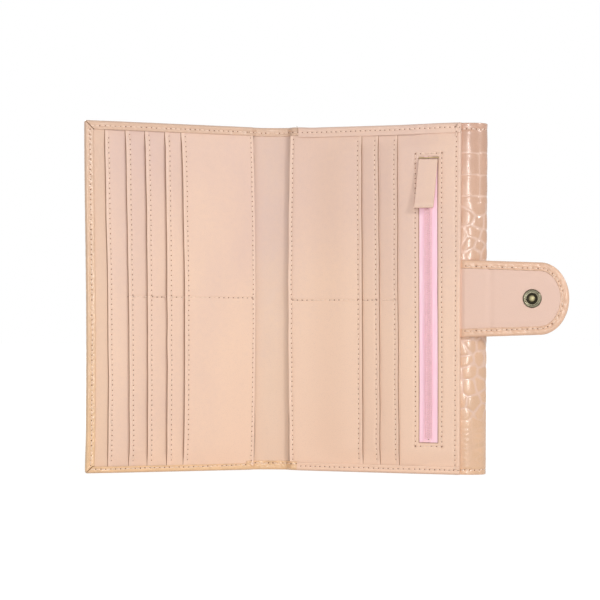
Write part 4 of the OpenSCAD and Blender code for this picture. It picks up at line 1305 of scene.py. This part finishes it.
def build_tab_rim(part, outline, rows, blend, sign, label):
    """Turned edge on one side of the tab."""
    e, share, angle = turned(tab.turn, 0.4, 13)
    u, half = (np.array(column) for column in zip(*(outline(d, 0.4) for d in e)))
    e, share, angle = (a[:, None] for a in (e, share, angle))
    z, past = tab.z + sign * half, np.where(angle < 0, -e, e)
    creased = 0.13 * ease((e - 1.0) / 1.2) * (share > 0.9)
    lift, tones = hide(TAB_HIDE + u, tab.z + sign * (half + 2 * past), rows, u, z, 0.12, creased)
    lift = lift - round_off(tab.turn - e, 0.35) * (share > 0.99)
    # painted shadow: dark line along the rim's inner edge, stronger on the upper side where the light comes
    # from above
    tones["seam"] = (0.55 if sign > 0 else 0.2) * bump(tab.turn - e, 0, 0.3) + 0 * u
    slant = np.arctan2(u - tab.round_u, half * (tab.tip - tab.round_u) / tab.end) * (u > tab.round_u)

    def skin(offset):
        out = np.cos(angle) * offset
        w = tab.lo + (tab.hi - tab.lo) * share + np.sin(angle) * offset
        place = u + out * np.sin(slant)
        return lay(place, w, z + sign * out * np.cos(slant))

    piece = shell(f"tab_{part}_rim_{label}", skin(lift), skin(0 * lift - TAB_SKIN), TAB_CROC, tones)
    settle(piece, RIGHT, blend=blend)


def build_tab_part(part, u_from, rows, lining_node, nodes, blend):
    """Back from rim to rim, the turned rims, the lining between them and the stitching."""
    outline = lambda e, step: tab_outline(u_from, e, step, part == "far")
    u, z = tab_face(*outline(RIM_R, 0.55))
    lift, tones = hide(TAB_HIDE + u, z, rows, u, z, 0.9)
    back = shell(f"tab_{part}_back", lay(u, tab.lo - lift, z), lay(u, tab.lo + 0.8, z), TAB_CROC, tones)
    settle(back, RIGHT, *nodes, blend=blend)
    for sign, label in ((1, "upper"), (-1, "lower")):
        build_tab_rim(part, outline, rows, blend, sign, label)
    u, z = tab_face(*outline(tab.turn - 0.7, 0.8))
    inside = np.clip(np.abs(z[:, -1:] - tab.z) - np.abs(z - tab.z), 0, None)
    puff = 0.25 * ease(inside / 4) + drift(u, z, 95, 0.06) - 0.22 * bump(u, tab.axis2 - 0.4, 1.5)
    top, under = lay(u, tab.hi - 0.3 + puff, z), lay(u, tab.hi - 1.1, z)
    settle(shell(f"tab_{part}_lining", top, under, TAB_LINING), RIGHT, lining_node, blend=blend)
    for name, level, face in (("stitches", tab.hi, 1), ("back_stitches", tab.lo, -1)):
        surface = lambda u, z: level + tab_level(u)
        sew(f"tab_{part}_{name}", RIGHT, [(row, surface) for row in rows], blend, face)


def build_tab():
    upper, middle, lower = tab_stitch_rows()
    build_tab_part("near", RIGHT.span("tab_root").u0, [upper, lower], "tab_band_lining",
                   ("tab_root", "tab_fold_1", "tab_band_outer"),
                   ("right_leaf", "tab_band", RIGHT.point(tab.axis1 - 1.6), RIGHT.point(tab.axis1 + 2.2)))
    build_tab_part("far", TAB_SPLIT, [middle], "tab_end_lining", ("tab_fold_2", "tab_end_outer"),
                   ("tab_band", "tab_end", RIGHT.point(tab.axis2 - 2.2), RIGHT.point(tab.axis2 + 2.2)))


def build_snap():
    """Stud on the tab with its rivet cap behind, and the socket on the left leaf's outer face."""
    n, s = RIGHT.span("snap_stud"), LEFT.span("snap_socket")
    u = (n.u0 + n.u1) / 2
    stud = [(0.05, -0.3), (5.0, -0.3), (5.05, 0.1), (4.9, 0.45), (4.55, 0.72), (4.1, 0.8), (3.7, 0.66),
            (3.45, 0.6), (3.2, 0.66), (2.95, 0.6), (2.75, 0.3), (2.7, 0.12), (0.05, 0.1)]
    well = [(0.05, 0.2), (2.85, 0.2), (2.75, 0.34), (2.3, 0.26), (0.05, 0.26)]
    post = [(0.05, 0.0), (1.8, 0.0), (1.7, 0.7), (1.6, 1.3), (1.7, 1.7), (1.5, 2.0), (1.0, 2.15),
            (0.5, 2.2), (0.05, 2.2)]
    cap = [(0.05, 0.4), (6.2, 0.4), (6.25, 0.0), (6.1, -0.5), (5.6, -1.0), (4.6, -1.5), (3.2, -1.8),
           (1.6, -1.95), (0.05, -2)]
    socket = [(2.0, s.w0 + 0.1), (2.5, s.w0), (2.6, s.w0 + 0.2), (2.6, -1.5), (3.0, -1.35), (5.2, -1.35),
              (5.6, -1.1), (5.6, s.w1), (2.0, s.w1), (2.0, s.w0 + 0.1)]
    foot = (u, tab.hi + tab_level(u) - 0.15, tab.z)
    settle(lathe("stud_brass", RIGHT, foot, stud, SNAP), "tab_end", "snap_stud")
    # painted shade: dark disc at the bottom of the stud's recess
    settle(lathe("stud_well_shade", RIGHT, foot, well, WELL_SHADE), "tab_end")
    settle(lathe("stud_post", RIGHT, foot, post, POST), "tab_end")
    place = ((s.u0 + s.u1) / 2, 0, (s.z0 + s.z1) / 2)
    settle(lathe("socket_brass", LEFT, place, socket, SNAP), LEFT, "snap_socket")
    settle(lathe("cap_brass", RIGHT, (u, tab.lo + tab_level(u), tab.z), cap, SNAP), "tab_end", "snap_cap")


# Gutter, loose ends and what stays of the CAD nodes
def build_gutter():
    """Smooth lining of the spine that runs on under both pages and gapes from the left one low down."""
    n = LEFT.span("spine_lining")
    level = LEFT.span("bill_lining_left").w1 + 0.02
    for leaf, name, depth, *nodes in ((LEFT, "gutter_lining_left", 0.9, "spine_lining"),
                                      (RIGHT, "gutter_lining_right", 0.0)):
        gape = lambda u, z: depth * bump(z, 21.7, 9) * ease((u - 2.4) / 0.9)
        top = lambda u, z: level + 0.12 * bump(u, 0, 3.0) - gape(u, z)
        panel = Panel(name, leaf, straight(-leaf.fold_x), straight(13), n.z0, n.z1, top, thick=0.3, seed=15,
                      waves=0.0)
        # painted shade on the lining beside both pages' gutter edges
        panel.shade = lambda u: 0.18 * bump(u, 3.6, 1.7)
        settle(panel.build(GUTTER_SHADED, step=0.6, rounded=()), leaf, *nodes, blend=leaf.fold_blend())


def build_loose_threads():
    """Two ends of thread that stand out of the hem."""
    ends = {
        "loose_thread_gutter": [(8.5, 4.8, 186.9), (8.8, 5.4, 188.4), (8.5, 5.6, 190.3)],
        "loose_thread_fore": [(96.0, 4.5, 187.6), (96.7, 4.9, 188.0), (97.2, 4.8, 189.2)],
    }
    for name, points in ends.items():
        places = np.linspace(0, 2, 12)
        line = np.transpose([np.interp(places, (0, 1, 2), column) for column in zip(*points)])
        settle(tube(name, RIGHT, line, 0.13, LOOSE, 6), RIGHT)


def dress_nodes():
    """Finishes for the CAD nodes that stay in sight or inside."""
    finishes = {
        "spine_stiffener": BOARD, "stiffener_left": BOARD, "stiffener_right": BOARD, "tab_stiffener": BOARD,
        "fore_edge_filler": PAGE, "zip_stops": COIL, "pull_bar": ZIP_METAL, "socket_eyelet": SNAP,
    }
    for node, material in finishes.items():
        mesh = frame["nodes"][node].data
        mesh.materials.clear()
        mesh.materials.append(material)


# Floor, light and surroundings
FLOOR = 6.0


def build_stage():
    """Pale floor that takes a soft shadow and brightens away from the wallet."""
    mesh = bpy.data.meshes.new("floor")
    corners = [(x * FLOOR, y * FLOOR, 0) for x, y in ((-1, -1), (1, -1), (1, 1), (-1, 1))]
    mesh.from_pydata(corners, [], [(0, 1, 2, 3)])
    n = new_material("floor")
    greys = (0.9, 0.89, 0.88), (0.22, 0.22, 0.22)
    plain, thin = (n.node("BsdfDiffuse", {"Color": grey}) for grey in greys)
    away = n.node("VectorMath", {0: n.where()}, "Value", operation="LENGTH")
    glow = n.node("Emission", {"Strength": n.spread(away, 0.12, 0.55, 0.88, 1.05)})
    both = n.node("AddShader", {0: thin, 1: glow})
    mixed = n.node("MixShader", {0: n.seen(), 1: plain, 2: both})
    n.plug(n.tree.nodes["Material Output"], {"Surface": mixed})
    mesh.materials.append(n.owner)
    add_object("floor", mesh)


def area_light(name, place, aim, size, power, tall=None):
    """Round lamp, or an upright strip where its height is given."""
    data = bpy.data.lights.new(name, "AREA")
    data.shape, data.size, data.size_y = "ELLIPSE", size, tall or size
    data.energy = power
    lamp = add_object(name, data)
    lamp.location = place
    gaze = bpy.context.scene.camera.location.copy()
    gaze.xyz = [a - b for a, b in zip(aim, place)]
    lamp.rotation_euler = gaze.to_track_quat("-Z", "Y").to_euler()


def build_light():
    middle = (0.0, -0.02, 0.095)
    area_light("key", (0.84, -0.95, 0.62), middle, 0.22, 5.0)
    area_light("front", (-0.02, -1.2, 0.2), middle, 0.1, 3.5, 0.5)
    area_light("low", (-0.1, -0.55, 0.02), (0.0, 0.0, 0.03), 0.4, 0.62)
    area_light("rear", (-0.45, 1.1, 0.55), middle, 0.3, 4.5)
    world = bpy.data.worlds.new("studio")
    bpy.context.scene.world = world
    n = Nodes(world)
    strength = n.spread(n.seen(), 0.0, 1.0, 0.38, 1.0)
    n.plug(n.tree.nodes["Background"], {"Color": (1, 1, 1), "Strength": strength})


build_covers()
build_rims()
build_left_pages()
build_right_pages()
build_hem_bands()
build_gutter()
build_loose_threads()
build_tapes()
build_coils()
build_pull()
build_slider()
build_nose()
build_coupon_back()
build_dividers()
build_gusset("gusset_top", 1)
build_gusset("gusset_bottom", -1)
build_tab()
build_snap()
dress_nodes()
build_stage()
build_light()
